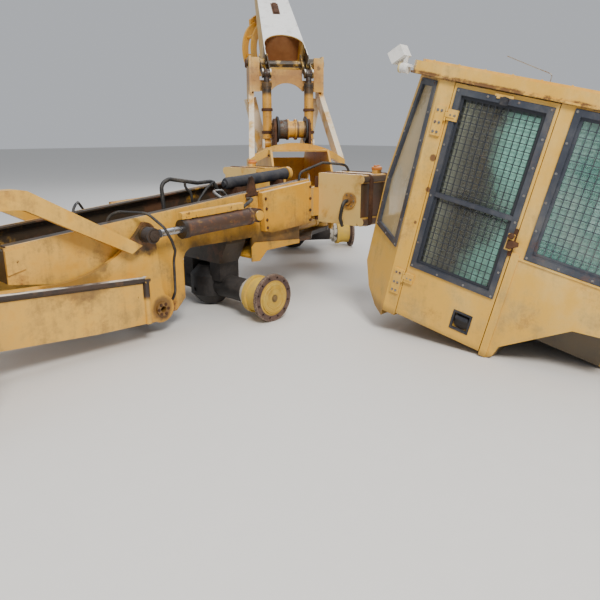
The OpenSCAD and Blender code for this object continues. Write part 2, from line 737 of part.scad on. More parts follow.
module steer_barrel(side) {
    color(yellow) on_base() steer_place(side)
        barrel(steer_barrel_len, steer_cyl_d - 12, steer_rod_d, 92, steer_pin2_d, steer_eye_t);
}

module steer_rod(side) {
    reach = steer_reach(side);
    color(steel) on_base() steer_place(side)
        rod(reach, reach - steer_rod_total, steer_rod_d, 92, 40, steer_eye_t - 4);
}

module steer_barrel_left() { steer_barrel(-1); }

module steer_barrel_right() { steer_barrel(1); }

module steer_rod_left() { steer_rod(-1); }

module steer_rod_right() { steer_rod(1); }

// boom, drawn along +X from its pivot and raised about it
boom_root_h = 400;
boom_tip_h = 230;
boom_skin = 16;
root_arch_r = boom_w / 2 - boom_skin - 8;   // arched edge of the top plate at the root
root_arch_x = 155;
fork_depth = 260;        // slot at the boom's tip that the hanger swings in

module boom_profile(inset) {
    polygon([[-120 + inset, -90 + inset], [-120 + inset, boom_root_h - 190 - inset],
             [boom_len + 60 - inset, boom_tip_h / 2 - inset],
             [boom_len + 60 - inset, -boom_tip_h / 2 + inset], [500, -boom_root_h + 160 + inset],
             [120 + inset, -boom_root_h + 190 + inset]]);
}

module boom_plan(inset) {
    polygon([[-200, -boom_w / 2 + inset], [boom_len + 80 - inset, -boom_tip_w / 2 + inset],
             [boom_len + 80 - inset, boom_tip_w / 2 - inset], [-200, boom_w / 2 - inset]]);
}

module boom_solid(inset) {
    intersection() {
        upright(-boom_w, 2 * boom_w) boom_profile(inset);
        translate([0, 0, -1000]) linear_extrude(2000) boom_plan(inset);
    }
}

module boom() {
    ear = boom_ear_local;
    color(worn) rear_part() translate([boom_pivot_x, 0, boom_pivot_z]) rotate([0, -boom_angle, 0]) {
        difference() {
            boom_solid(0);
            boom_solid(boom_skin);
            // the root is open in front, with an arched edge to the top plate
            translate([-201, -boom_w / 2 + boom_skin, -boom_root_h]) cube([260, boom_w - 2 * boom_skin, 2 * boom_root_h]);
            translate([root_arch_x, 0, 0]) cylinder(h = boom_root_h, r = root_arch_r, $fn = 96);
            translate([-201, -root_arch_r, 0]) cube([201 + root_arch_x, 2 * root_arch_r, boom_root_h]);
            // fork at the tip for the hanger
            translate([boom_len - fork_depth, -60, -boom_root_h]) cube([fork_depth + 200, 120, 2 * boom_root_h]);
            translate([boom_len, 0, 0]) rotate([-90, 0, 0]) cylinder(h = boom_tip_w + 2, d = 60 + 2 * run_gap, center = true);
        }
        // plate that closes the box behind the arched edge
        translate([root_arch_x + root_arch_r + 6, 0, 0]) intersection() {
            translate([-root_arch_x - root_arch_r - 6, 0, 0]) boom_solid(boom_skin - 1);
            translate([0, -boom_w, -boom_root_h]) cube([14, 2 * boom_w, 2 * boom_root_h]);
        }
        // cheeks inside the fork
        for (y = [-76, 60]) difference() {
            upright(y, 16) intersection() {
                boom_profile(4);
                translate([boom_len - fork_depth - 15, -boom_root_h]) square([fork_depth + 65, 2 * boom_root_h]);
            }
            translate([boom_len, 0, 0]) rotate([-90, 0, 0]) cylinder(h = boom_tip_w + 2, d = 60 + 2 * run_gap, center = true);
        }
        upright(-62, 124) intersection() {
            boom_profile(4);
            translate([boom_len - fork_depth - 15, -boom_root_h]) square([15, 2 * boom_root_h]);
        }
        // pivot pins
        both_sides() translate([0, boom_w / 2 - boom_skin - 1, 0]) rotate([-90, 0, 0]) {
            cylinder(h = arch_w / 2 + 18 - boom_w / 2 + boom_skin, d = boom_pin_d);
            cylinder(h = arch_w / 2 - head_t - part_gap - boom_w / 2 + boom_skin, d = 150);
        }
        // ears that take the rod eyes, outside the root
        both_sides() for (y = [boom_cyl_y - 35 - 8 - 18, boom_cyl_y + 35 + 8]) upright(y, 18) union() {
            translate(ear) circle(60);
            polygon([ear + [-42, 44], ear + [40, -46], [150, -130], [150, 60], [-60, 60]]);
        }
        // cross tube that ties the ears
        both_sides() translate([30, -1, -20]) rotate([-90, 0, 0]) cylinder(h = boom_cyl_y + 35 + 8 + 18 + 1, d = 90);
    }
}
boom_ear_local = [boom_ear[0] * cos(boom_angle) + boom_ear[1] * sin(boom_angle),
                  -boom_ear[0] * sin(boom_angle) + boom_ear[1] * cos(boom_angle)];

boom_cyl_top = [boom_pivot_x + boom_ear[0], boom_pivot_z + boom_ear[1]];
boom_barrel_len = 795;

module boom_cyl_place() {
    rear_part() both_sides() translate([boom_cyl_foot[0], boom_cyl_y, boom_cyl_foot[1]])
        rotate([0, -atan2(boom_cyl_top[1] - boom_cyl_foot[1], boom_cyl_top[0] - boom_cyl_foot[0]), 0]) children();
}

module boom_barrels() {
    color(yellow) boom_cyl_place() barrel(boom_barrel_len, boom_cyl_d - 12, boom_rod_d, 110, 60, 80);
}

module boom_rods() {
    color(steel) boom_cyl_place()
        rod(norm(boom_cyl_top - boom_cyl_foot), 300, boom_rod_d, 112, 50, 70);
}

// grapple hanging from the boom's tip: hanger, rotator with its head box, and two tongs
tip = [boom_pivot_x + boom_len * cos(boom_angle), boom_pivot_z + boom_len * sin(boom_angle)];
hanger_drop = 400;
grapple_yaw = 45;          // how the grapple hangs, turned from square to the boom
head_drop = 470;
tong_pin_y = 190;

module at_tip() { rear_part() translate([tip[0], 0, tip[1]]) children(); }

module grapple_hanger() {
    color(yellow) at_tip() difference() {
        union() {
            rotate([90, 0, 0]) cylinder(h = 100, d = 130, center = true);
            translate([-45, -50, -hanger_drop + 60]) cube([90, 100, hanger_drop - 60]);
            translate([0, 0, -hanger_drop + run_gap]) cylinder(h = 70, d = 150);
            rotate([90, 0, 0]) cylinder(h = boom_tip_w - 20, d = 60, center = true);
        }
    }
}

module grapple_head() {
    z0 = -hanger_drop;
    color(yellow) at_tip() rotate([0, 0, grapple_yaw]) difference() {
        union() {
            translate([0, 0, z0 - 90]) cylinder(h = 90, d = 260);
            // head box, open below, with ears for the tong pins
            for (x = [-150, 110]) translate([x + 40, 0, 0]) rotate([90, 0, -90]) linear_extrude(40)
                polygon([[-tong_pin_y - 80, z0 - 330], [-tong_pin_y - 90, z0 - 180], [-120, z0 - 89],
                         [120, z0 - 89], [tong_pin_y + 90, z0 - 180], [tong_pin_y + 80, z0 - 330],
                         [tong_pin_y - 70, z0 - 330], [90, z0 - 210], [-90, z0 - 210], [-tong_pin_y + 70, z0 - 330]]);
            translate([-112, -105, z0 - 130]) cube([224, 210, 60]);
        }
    }
    color(steel) at_tip() rotate([0, 0, grapple_yaw]) for (s = [-1, 1]) translate([-152, s * tong_pin_y, z0 - 270]) rotate([0, 90, 0])
        cylinder(h = 304, d = 50);
}

// a pair of curved blades tied by cross tubes, pivoting on a head pin
module tong(side) {
    z0 = -hanger_drop - 270;
    inner = 382;
    at_tip() rotate([0, 0, grapple_yaw]) mirror([0, side < 0 ? 1 : 0, 0]) translate([0, tong_pin_y, z0]) {
        for (x = [-105, 70]) translate([x, 0, 0]) rotate([90, 0, 90]) linear_extrude(35) difference() {
            union() {
                circle(62);
                // hooked blade: the ring sector between two arcs
                intersection() {
                    difference() {
                        translate([-116, -inner]) circle(inner + 68, $fn = 128);
                        translate([-134, -inner - 8]) circle(inner - 36, $fn = 128);
                    }
                    polygon([[-40, 20], [180, 72], [470, -180], [430, -630], [20, -tong_len], [-126, -tong_len + 36],
                             [-116, -inner - 267], [-30, -267]]);
                }
            }
            circle(25 + run_gap);
        }
        translate([-105, 222, -205]) rotate([0, 90, 0]) cylinder(h = 210, d = 50);
        translate([-105, 227, -480]) rotate([0, 90, 0]) cylinder(h = 210, d = 50);
    }
}

module tong_left() { color(yellow) tong(-1); }

module tong_right() { color(yellow) tong(1); }

// cab, drawn level: X forwards from the foot of the front door post, Y from the right side
// across to the left, Z up from the sill; then leaned and turned to where it stands
cab_at = [-1040, -2560];
cab_yaw = -85.1;
module cab_place() {
    on_base() translate([cab_at[0], cab_at[1], 0]) rotate([0, 0, cab_yaw]) rotate([0, cab_lean, 0]) children();
}

module cab_both() {
    children();
    translate([0, cab_w, 0]) mirror([0, 1, 0]) children();
}

roof_t = 95;
wall_top = cab_h - roof_t;
post_rear = -889;            // rear edge of the side panels
door_back = -770;
door_front = door_back + door_w;
door_low = 24;
door_top = wall_top - 15;
front_s = 727;               // front edge of the side panels
belt = 785;
rear_belly = 1289;           // how far the rear wall reaches behind the door post's foot
rear_chamfer_y = 290;
// the tunnel's front lower edge meets the ground together with the feet of the door posts
tunnel_low = (front_s + 30) * tan(cab_lean);

side_outline = [[post_rear, 0], [0, 0], [39, 30], [62, 116], [470, 431], [636, 458], [front_s, 470], [front_s, wall_top],
                [post_rear, wall_top]];

module side_window_2d(grow) {
    polygon([[66 - grow, belt + 20 - grow], [front_s - 60 + grow, belt + 20 - grow],
             [front_s - 90 + grow, wall_top - 55 + grow], [66 - grow, wall_top - 55 + grow]]);
}

module cab_side() {
    upright(0, cab_wall) difference() {
        polygon(side_outline);
        side_window_2d(0);
        // door opening
        translate([door_back - door_gap, door_low - 100]) square([door_w + 2 * door_gap, door_top - door_low + 100 + door_gap]);
    }
    // sill behind and below the door, and the drip rail
    translate([post_rear, cab_wall, 0]) cube([post_rear_w, 12, wall_top]);
    translate([post_rear, -8, wall_top - 8]) cube([front_s - post_rear, 8, 8]);
    // front door post with its capping strip, and the ledge under the side window
    translate([-54, -10, 2]) cube([54, 10, belt + 5]);
    translate([-1, -8, belt - 30]) cube([front_s + 1, 8, 14]);
    // hinge leaves on the rear post, reaching down below their knuckles
    for (z = hinge_hs) translate([door_back - door_gap - 84, -14, z - 110]) cube([72, 14, 200]);
    for (z = hinge_hs) translate([door_back - door_gap - 2, -16, z]) cylinder(h = 26, d = 14);
    for (z = hinge_hs) translate([door_back - door_gap - 2, -16, z + 62]) cylinder(h = 28, d = 14);
    for (z = hinge_hs) translate([door_back - door_gap - 13, -14, z]) cube([11, 14, 26]);
    for (z = hinge_hs) translate([door_back - door_gap - 13, -14, z + 62]) cube([11, 14, 28]);
}
post_rear_w = 100;
hinge_hs = [290, 1500];
hinge_axis = [door_back - door_gap - 2, -16];

module cab_side_right() { color(yellow) cab_place() cab_side(); }

module cab_side_left() { color(yellow) cab_place() translate([0, cab_w, 0]) mirror([0, 1, 0]) cab_side(); }

// outline of the rear body seen from the side and from above; grown inwards by inset
module rear_profile(inset) {
    polygon([[post_rear + (inset > 0 ? 1 : 0), -48 + inset], [post_rear - 120 + inset / 2, -30 + inset],
             [-rear_belly + 120 + inset / 2, 60 + inset], [-rear_belly + inset, 230 + inset / 2], [-rear_belly + inset, 970],
             [-1182 + inset, 1512], [-1135 + inset, wall_top - 1],
             [post_rear + (inset > 0 ? 1 : 0), wall_top - 1]]);
}

module rear_plan(inset) {
    polygon([[post_rear + 1, inset], [post_rear, inset], [-rear_belly, rear_chamfer_y + inset * 0.8],
             [-rear_belly - 50, rear_chamfer_y + 30 + inset * 0.8], [-rear_belly - 50, cab_w - rear_chamfer_y - 30 - inset * 0.8],
             [-rear_belly, cab_w - rear_chamfer_y - inset * 0.8], [post_rear, cab_w - inset], [post_rear + 1, cab_w - inset]]);
}

module rear_body(inset) {
    intersection() {
        upright(0, cab_w) rear_profile(inset);
        translate([0, 0, -100]) linear_extrude(cab_h + 200) rear_plan(inset);
    }
}

chamfer_yaw = 180 - atan2(rear_chamfer_y, rear_belly + post_rear);
chamfer_len = norm([rear_chamfer_y, rear_belly + post_rear]);

module cab_rear() {
    color(yellow) cab_place() difference() {
        rear_body(0);
        translate([2, 0, 0]) rear_body(rear_wall);
        // rear window
        translate([-rear_belly - 100, rear_chamfer_y + 60, 620]) cube([300, cab_w - 2 * rear_chamfer_y - 120, 1020]);
        // corner windows
        cab_both() translate([post_rear, 0, 0]) rotate([0, 0, chamfer_yaw]) translate([0, 200, 0]) rotate([90, 0, 0])
            linear_extrude(400) corner_window_2d(0);
    }
}
rear_wall = 30;

module corner_window_2d(grow) {
    polygon([[60 - grow, 560 - grow], [chamfer_len - 75 + grow, 600 - grow], [chamfer_len - 80 + grow, 960],
             [230 + grow, wall_top - 60 + grow], [60 - grow, wall_top - 60 + grow]]);
}

module cab_front() {
    color(yellow) cab_place() {
        difference() {
            translate([front_s, 0, 458]) cube([45, cab_w, wall_top - 458]);
            translate([front_s - 1, 90, belt + 20]) cube([50, cab_w - 180, wall_top - 90 - belt]);
            // lower windows over the hood line
            for (y = [120, cab_w / 2 + 40]) translate([front_s - 1, y, 520]) cube([50, cab_w / 2 - 160, 190]);
        }
    }
}

module cab_roof() {
    color(yellow) cab_place() {
        translate([0, 0, wall_top]) linear_extrude(roof_t - 16)
            polygon([[-1145, 60], [-1090, -12], [760, -12], [830, 70], [830, cab_w - 70], [760, cab_w + 12],
                     [-1090, cab_w + 12], [-1145, cab_w - 60]]);
        translate([0, 0, cab_h - 16]) linear_extrude(16)
            polygon([[-1100, 90], [-1050, 36], [720, 36], [780, 100], [780, cab_w - 100], [720, cab_w - 36],
                     [-1050, cab_w - 36], [-1100, cab_w - 90]]);
    }
}

// floor with the sloping wheel arches and, between them, the footwell that the cab rests on in front
module cab_floor() {
    w0 = 275;
    inner = cab_wall;
    strip = cab_wall + 12;
    color(yellow) cab_place() {
        difference() {
            union() {
                upright(inner, cab_w - 2 * inner)
                    polygon([[post_rear + post_rear_w, 30], [44, 30], [62, 120], [468, 437], [front_s, 475], [front_s, 495],
                             [462, 455], [58, 145], [27, 50], [post_rear + post_rear_w, 50]]);
                upright(w0, cab_w - 2 * w0)
                    polygon([[140, tunnel_low], [front_s + 30, tunnel_low], [front_s + 30, 215], [front_s - 5, 480],
                             [465, 446], [140, 193]]);
            }
            // the footwell is open to the cab
            upright(w0 + 20, cab_w - 2 * w0 - 40)
                polygon([[160, tunnel_low + 20], [front_s + 8, tunnel_low + 20], [front_s + 8, 213], [front_s - 27, 480],
                         [front_s - 27, 700], [400, 700], [160, 260]]);
        }
        // floor behind the seat, between the rear posts
        upright(strip, cab_w - 2 * strip)
            polygon([[post_rear, 30], [post_rear + post_rear_w + 1, 30], [post_rear + post_rear_w + 1, 50], [post_rear, 50]]);
        // sills under the doors
        cab_both() translate([post_rear + post_rear_w, inner, 0]) cube([-post_rear - post_rear_w, 60, 31]);
    }
}

module cab_glass() {
    g = 6;
    color(glass) cab_place() {
        cab_both() upright(cab_wall / 2, g) difference() { side_window_2d(0); }
        translate([front_s + 20, 90, belt + 20]) cube([g, cab_w - 180, wall_top - 90 - belt]);
        cab_both() translate([post_rear, 0, 0]) rotate([0, 0, chamfer_yaw]) translate([0, -8, 0]) rotate([90, 0, 0])
            linear_extrude(g) corner_window_2d(0);
        for (y = [120, cab_w / 2 + 40]) translate([front_s + 20, y, 520]) cube([g, cab_w / 2 - 160, 190]);
    }
}

// a guard frame with two layers of bars, in the XZ plane from the origin, w by h
module guard(w, h, rim) {
    n = floor((w - 2 * rim) / guard_pitch);
    m = floor((h - 2 * rim) / guard_pitch);
    difference() {
        cube([w, 12, h]);
        translate([rim, -1, rim]) cube([w - 2 * rim, 14, h - 2 * rim]);
    }
    for (i = [1 : n]) translate([rim + (w - 2 * rim) * i / (n + 1) - guard_bar / 2, 0, rim - 1])
        cube([guard_bar, guard_bar, h - 2 * rim + 2]);
    for (j = [1 : m]) translate([rim - 1, guard_bar + 0.3, rim + (h - 2 * rim) * j / (m + 1) - guard_bar / 2])
        cube([w - 2 * rim + 2, guard_bar, guard_bar]);
}

module cab_guards() {
    side_w = front_s - 126;
    side_h = wall_top - belt - 75;
    color(dark) cab_place() {
        cab_both() translate([66, 6, belt + 20]) guard(side_w - 30, side_h, 28);
        translate([front_s + 6, cab_w - 90, belt + 20]) rotate([0, 0, -90]) guard(cab_w - 180, wall_top - 90 - belt, 28);
        translate([-rear_belly + 190, cab_w - rear_chamfer_y - 30, 600]) rotate([0, 0, -90])
            guard(cab_w - 2 * rear_chamfer_y - 60, wall_top - 600, 28);
    }
}

module cab_seat() {
    color(dark) cab_place() {
        translate([-620, cab_w / 2 - 210, 50]) cube([330, 420, 280]);
        translate([-660, cab_w / 2 - 250, 330]) linear_extrude(110)
            polygon([[0, 40], [40, 0], [440, 0], [480, 50], [480, 450], [440, 500], [40, 500], [0, 460]]);
        translate([-660, cab_w / 2 - 230, 440]) rotate([0, -8, 0]) cube([110, 460, 560]);
        // instrument post and wheel
        upright(cab_w / 2 - 180, 360)
            polygon([[170, tunnel_low + 20], [300, tunnel_low + 20], [230, 700], [40, 700], [40, 650], [110, 600]]);
        translate([20, cab_w / 2, 715]) rotate([0, -25, 0]) rotate_extrude($fn = 64) translate([185, 0]) circle(14, $fn = 24);
        translate([20, cab_w / 2, 715]) rotate([0, -25, 0]) {
            translate([0, 0, -60]) cylinder(h = 70, d = 50);
            translate([-185, -12, -6]) cube([370, 24, 12]);
        }
    }
}

module cab_lamps() {
    lamp_at = [-1290, 75, wall_top + 90];
    color(worn) cab_place() {
        // arm from the roof's rear edge with a post up to the tilted box lamp, and the round lamp under it
        translate([-1245, 62, wall_top + 25]) cube([100, 26, 16]);
        translate([-1240, 65, wall_top + 30]) cube([24, 20, 67]);
        translate(lamp_at) rotate([0, -41, 0]) difference() {
            cube([114, 104, 84], center = true);
            translate([-58, 0, 0]) cube([16, 84, 64], center = true);
        }
        translate([-1192, 75, wall_top + 10]) rotate([0, -90, 0]) cylinder(h = 60, d = 68);
    }
}

module door_window_2d(grow) {
    polygon([[door_back + 55 - grow, 465 - grow], [door_front - 52 + grow, 465 - grow],
             [door_front - 52 + grow, door_top - 60 + grow], [door_back + 55 - grow, door_top - 60 + grow]]);
}

module cab_door() {
    difference() {
        upright(0, cab_wall) difference() {
            translate([door_back, door_low]) square([door_w, door_top - door_low]);
            door_window_2d(0);
        }
        // handle recess low on the door
        translate([door_back + 445, -1, 100]) cube([150, 26, 150]);
        // hollow inner face
        translate([door_back + 40, cab_wall - 22, door_low + 40]) cube([door_w - 80, 40, 340]);
    }
    // hinge knuckles and straps
    for (z = hinge_hs) {
        translate([hinge_axis[0], hinge_axis[1], z + 28]) cylinder(h = 32, d = 14);
        translate([hinge_axis[0], hinge_axis[1] - 7, z + 28]) cube([70, 7, 32]);
        translate([door_back + 4, hinge_axis[1] - 2, z + 8]) cube([74, 18, 74]);
    }
    // latch box at the front edge
    translate([door_front - 46, -30, 800]) cube([42, 30, 110]);
}

module door_right() { color(yellow) cab_place() cab_door(); }

module door_left() { color(yellow) cab_place() translate([0, cab_w, 0]) mirror([0, 1, 0]) cab_door(); }

module door_glass() {
    w = door_w - 107;
    h = door_top - 60 - 465;
    upright(cab_wall / 2 + 2, 6) door_window_2d(0);
    translate([door_back + 55, 6, 465]) guard(w, h, 30);
    translate([door_back + 55, 6, 985]) cube([w, 12, 34]);
}

module door_right_glass() { color(dark) cab_place() door_glass(); }

module door_left_glass() { color(dark) cab_place() translate([0, cab_w, 0]) mirror([0, 1, 0]) door_glass(); }

frame_plates();
frame_cross();
frame_hinge();
belly_guard();
front_axle();
gearbox();
tank_left();
tank_right();
hub_front_left();
hub_front_right();
hub_rear_left();
hub_rear_right();
moldboard();
cutting_edge();
blade_arm_left();
blade_arm_right();
blade_barrels();
blade_rods();
rear_frame();
rear_axle();
arch();
winch_case();
winch_drum();
steer_barrel_left();
steer_rod_left();
steer_barrel_right();
steer_rod_right();
boom();
boom_barrels();
boom_rods();
grapple_hanger();
grapple_head();
tong_left();
tong_right();
cab_floor();
cab_side_right();
cab_side_left();
cab_rear();
cab_front();
cab_roof();
cab_glass();
cab_guards();
cab_seat();
cab_lamps();
door_right();
door_right_glass();
door_left();
door_left_glass();
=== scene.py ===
# Stripped grapple skidder on its bare hubs, with its cab set down beside it.
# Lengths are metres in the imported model's frame.
import json
import math
import random

import bmesh
import bpy
from mathutils import Matrix, Vector


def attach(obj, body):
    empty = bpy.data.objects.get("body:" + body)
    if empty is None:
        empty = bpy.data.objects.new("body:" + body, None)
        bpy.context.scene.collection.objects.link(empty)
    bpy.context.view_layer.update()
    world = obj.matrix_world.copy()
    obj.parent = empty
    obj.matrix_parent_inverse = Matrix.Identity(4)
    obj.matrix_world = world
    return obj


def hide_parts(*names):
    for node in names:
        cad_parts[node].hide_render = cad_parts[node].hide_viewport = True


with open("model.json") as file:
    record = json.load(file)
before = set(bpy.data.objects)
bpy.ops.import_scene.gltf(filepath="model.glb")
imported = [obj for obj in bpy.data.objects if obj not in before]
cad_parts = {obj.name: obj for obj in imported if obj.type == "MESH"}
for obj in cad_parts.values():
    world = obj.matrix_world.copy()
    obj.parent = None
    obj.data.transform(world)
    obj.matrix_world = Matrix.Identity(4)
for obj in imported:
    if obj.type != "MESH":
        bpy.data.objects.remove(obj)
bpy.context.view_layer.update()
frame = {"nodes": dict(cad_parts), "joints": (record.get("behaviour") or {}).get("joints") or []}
nodes = frame["nodes"]
jointNamed = {j["name"]: j for j in frame["joints"]}
print("frame loaded:", len(nodes), "nodes")


# places
pinPlace = Vector(jointNamed["steering"]["pos_m"])
layout = {"steerRest": 54.0, "cabAt": (-1.040, -2.560), "cabYaw": -85.1, "cabLean": 12.7,
          "boomPivot": (2.350, 2.480), "boomAngle": 37.0, "axleFront": -1.500, "axleRear": 1.750,
          "hubFace": 0.850, "hubHeight": 0.205, "cabWide": 1.250}
sides = (("Left", -1), ("Right", 1))


def turn(angle, axis):
    return Matrix.Rotation(math.radians(angle), 4, axis)


def shifted(space, x, y, z):
    return space @ Matrix.Translation((x, y, z))


def aimed(way, axis="Z"):
    # turns an axis to look along a direction
    return way.to_track_quat(axis, "Y").to_matrix().to_4x4()


def upright(way):
    # stands an outline up lengthwise, its local Z along y
    return Matrix(((1, 0, 0, 0), (0, 0, way, 0), (0, 1, 0, 0), (0, 0, 0, 1)))


def crosswise(way, side=1):
    # stands an outline up across, its local Z along x
    return Matrix(((0, 0, way, 0), (side, 0, 0, 0), (0, 1, 0, 0), (0, 0, 0, 1)))


def newObject(name, data):
    made = bpy.data.objects.new(name, data)
    bpy.context.scene.collection.objects.link(made)
    return made


frontSpace = Matrix.Translation((pinPlace.x, pinPlace.y, 0))
rearSpace = frontSpace @ turn(layout["steerRest"], "Z")
cabSpace = (shifted(frontSpace, *layout["cabAt"], 0) @ turn(layout["cabYaw"], "Z")
            @ turn(layout["cabLean"], "Y"))
boomSpace = (shifted(rearSpace, layout["boomPivot"][0], 0, layout["boomPivot"][1])
             @ turn(-layout["boomAngle"], "Y"))


def hubSpace(base, x, side):
    # local Z points out of the hub's face
    return shifted(base, x, side * layout["hubFace"], layout["hubHeight"]) @ turn(-side * 90, "X")


hubs = {
    "front_hub_left": hubSpace(frontSpace, layout["axleFront"], -1),
    "front_hub_right": hubSpace(frontSpace, layout["axleFront"], 1),
    "rear_hub_left": hubSpace(rearSpace, layout["axleRear"], -1),
    "rear_hub_right": hubSpace(rearSpace, layout["axleRear"], 1),
}


# camera, lights, floor
view = {"at": (-4.820, -4.340, 1.550), "aim": (0.720, 0.690), "pitch": -15.8, "focal": 35.34,
        "sensor": 36.0}


def makeCamera():
    data = bpy.data.cameras.new("camera")
    data.lens = view["focal"]
    data.sensor_width = view["sensor"]
    data.clip_end = 200
    camera = newObject("camera", data)
    pitch = math.radians(view["pitch"])
    flat = Vector((*view["aim"], 0)).normalized() * math.cos(pitch)
    way = Vector((flat.x, flat.y, math.sin(pitch)))
    camera.matrix_world = frontSpace @ Matrix.Translation(view["at"]) @ aimed(way, "-Z")
    bpy.context.scene.camera = camera


lamps = [
    {"name": "keyLight", "at": (-5.5, -9.0, 9.5), "size": 3.6, "power": 2000, "tint": (1.0, 0.95, 0.88)},
    {"name": "skyLight", "at": (0.5, 0.5, 12.0), "size": 10.0, "power": 760, "tint": (0.93, 0.96, 1.0)},
    {"name": "backLight", "at": (9.0, 6.0, 6.0), "size": 7.0, "power": 500, "tint": (0.95, 0.97, 1.0)},
]


worldLight = {"tint": (0.80, 0.83, 0.88, 1), "strength": 0.62}


def makeLights():
    for lamp in lamps:
        data = bpy.data.lights.new(lamp["name"], "AREA")
        data.size = lamp["size"]
        data.energy = lamp["power"]
        data.color = lamp["tint"]
        light = newObject(lamp["name"], data)
        place = Vector(lamp["at"])
        light.matrix_world = Matrix.Translation(place) @ aimed(Vector((0, 0, 1)) - place, "-Z")
    world = bpy.data.worlds.new("studio")
    world.use_nodes = True
    sky = world.node_tree.nodes["Background"].inputs
    sky["Color"].default_value = worldLight["tint"]
    sky["Strength"].default_value = worldLight["strength"]
    bpy.context.scene.world = world


makeCamera()
makeLights()
print("camera and lights placed")


# shader maths
def wire(tree, value, socket):
    if isinstance(value, Wire):
        tree.links.new(value.socket, socket)
    elif isinstance(value, (tuple, list)) and len(value) == 3 and socket.type == "RGBA":
        socket.default_value = (*value, 1)
    else:
        socket.default_value = value


class Wire:
    # a shader socket that can be written in sums
    def __init__(self, tree, socket):
        self.tree = tree
        self.socket = socket

    def maths(self, operation, *values):
        node = self.tree.nodes.new("ShaderNodeMath")
        node.operation = operation
        for socket, value in zip(node.inputs, values):
            wire(self.tree, value, socket)
        return Wire(self.tree, node.outputs[0])

    def __add__(self, other):
        return self.maths("ADD", self, other)

    def __radd__(self, other):
        return self.maths("ADD", other, self)

    def __sub__(self, other):
        return self.maths("SUBTRACT", self, other)

    def __rsub__(self, other):
        return self.maths("SUBTRACT", other, self)

    def __mul__(self, other):
        return self.maths("MULTIPLY", self, other)

    def __rmul__(self, other):
        return self.maths("MULTIPLY", other, self)

    def __abs__(self):
        return self.maths("ABSOLUTE", self)

    def root(self):
        return self.maths("SQRT", self)

    def most(self, other):
        return self.maths("MAXIMUM", self, other)

    def least(self, other):
        return self.maths("MINIMUM", self, other)

    def step(self, low, high):
        # soft step from 0 at low to 1 at high
        node = self.tree.nodes.new("ShaderNodeMapRange")
        node.interpolation_type = "SMOOTHSTEP"
        for socket, value in zip(node.inputs, (self, low, high, 0.0, 1.0)):
            wire(self.tree, value, socket)
        return Wire(self.tree, node.outputs[0])


class Finish:
    # a material under construction
    def __init__(self, name):
        self.material = bpy.data.materials.new(name)
        self.material.use_nodes = True
        self.tree = self.material.node_tree
        self.tree.nodes.clear()
        self.here = self.add("ShaderNodeTexCoord", out="Object")

    def add(self, kind, setup=None, sockets=None, out=0):
        node = self.tree.nodes.new(kind)
        for key, value in (setup or {}).items():
            if key == "stops":
                for stop in value[2:]:
                    node.color_ramp.elements.new(stop[0])
                for element, stop in zip(node.color_ramp.elements, value):
                    element.position = stop[0]
                    element.color = (*stop[1], 1)
            else:
                setattr(node, key, value)
        for key, value in (sockets or {}).items():
            wire(self.tree, value, node.inputs[key])
        return Wire(self.tree, node.outputs[out])

    def noise(self, scale, detail=5.0, rough=0.6, at=None):
        return self.add("ShaderNodeTexNoise", None,
                        {"Vector": at or self.here, "Scale": scale, "Detail": detail, "Roughness": rough})

    def moved(self, shift=(0, 0, 0), spin=(0, 0, 0), scale=(1, 1, 1)):
        return self.add("ShaderNodeMapping", None,
                        {"Vector": self.here, "Location": shift, "Rotation": spin, "Scale": scale})

    def part(self, axis):
        return self.add("ShaderNodeSeparateXYZ", None, {"Vector": self.here}, out=axis)

    def vector(self, operation, one, other=(0, 0, 0), out="Value"):
        return self.add("ShaderNodeVectorMath", {"operation": operation}, {0: one, 1: tuple(other)}, out)

    def blend(self, factor, one, other):
        return self.add("ShaderNodeMix", {"data_type": "RGBA"}, {0: factor, 6: one, 7: other}, out=2)

    def bump(self, height, distance, strength=1.0, under=None):
        sockets = {"Height": height, "Distance": distance, "Strength": strength}
        if under:
            sockets["Normal"] = under
        return self.add("ShaderNodeBump", None, sockets)

    def close(self, **sockets):
        shader = self.add("ShaderNodeBsdfPrincipled", None,
                          {k.replace("_", " "): v for k, v in sockets.items()})
        output = self.tree.nodes.new("ShaderNodeOutputMaterial")
        self.tree.links.new(shader.socket, output.inputs["Surface"])
        return self.material


# finishes
def nearTo(f, point, reach, ragged=0.35):
    # 1 close to a point, 0 beyond a ragged reach
    off = f.vector("DISTANCE", f.here, point)
    return 1 - (off + (f.noise(9, 5, 0.65) - 0.5) * reach * ragged * 2).step(reach * 0.70, reach * 1.05)


def facing(f, way, low=0.55, high=0.80):
    # 1 on faces that look along a direction
    normal = f.add("ShaderNodeTexCoord", out="Normal")
    return f.vector("DOT_PRODUCT", normal, way).step(low, high)


def along(f, origin, way):
    # distance from a plane through origin
    off = f.vector("SUBTRACT", f.here, origin, 0)
    return f.vector("DOT_PRODUCT", off, Vector(way).normalized())


def fromPin(f):
    # place as measured from the steering pin
    return f.part("X") - pinPlace.x, f.part("Y") - pinPlace.y, f.part("Z")


def plain(f):
    return ()


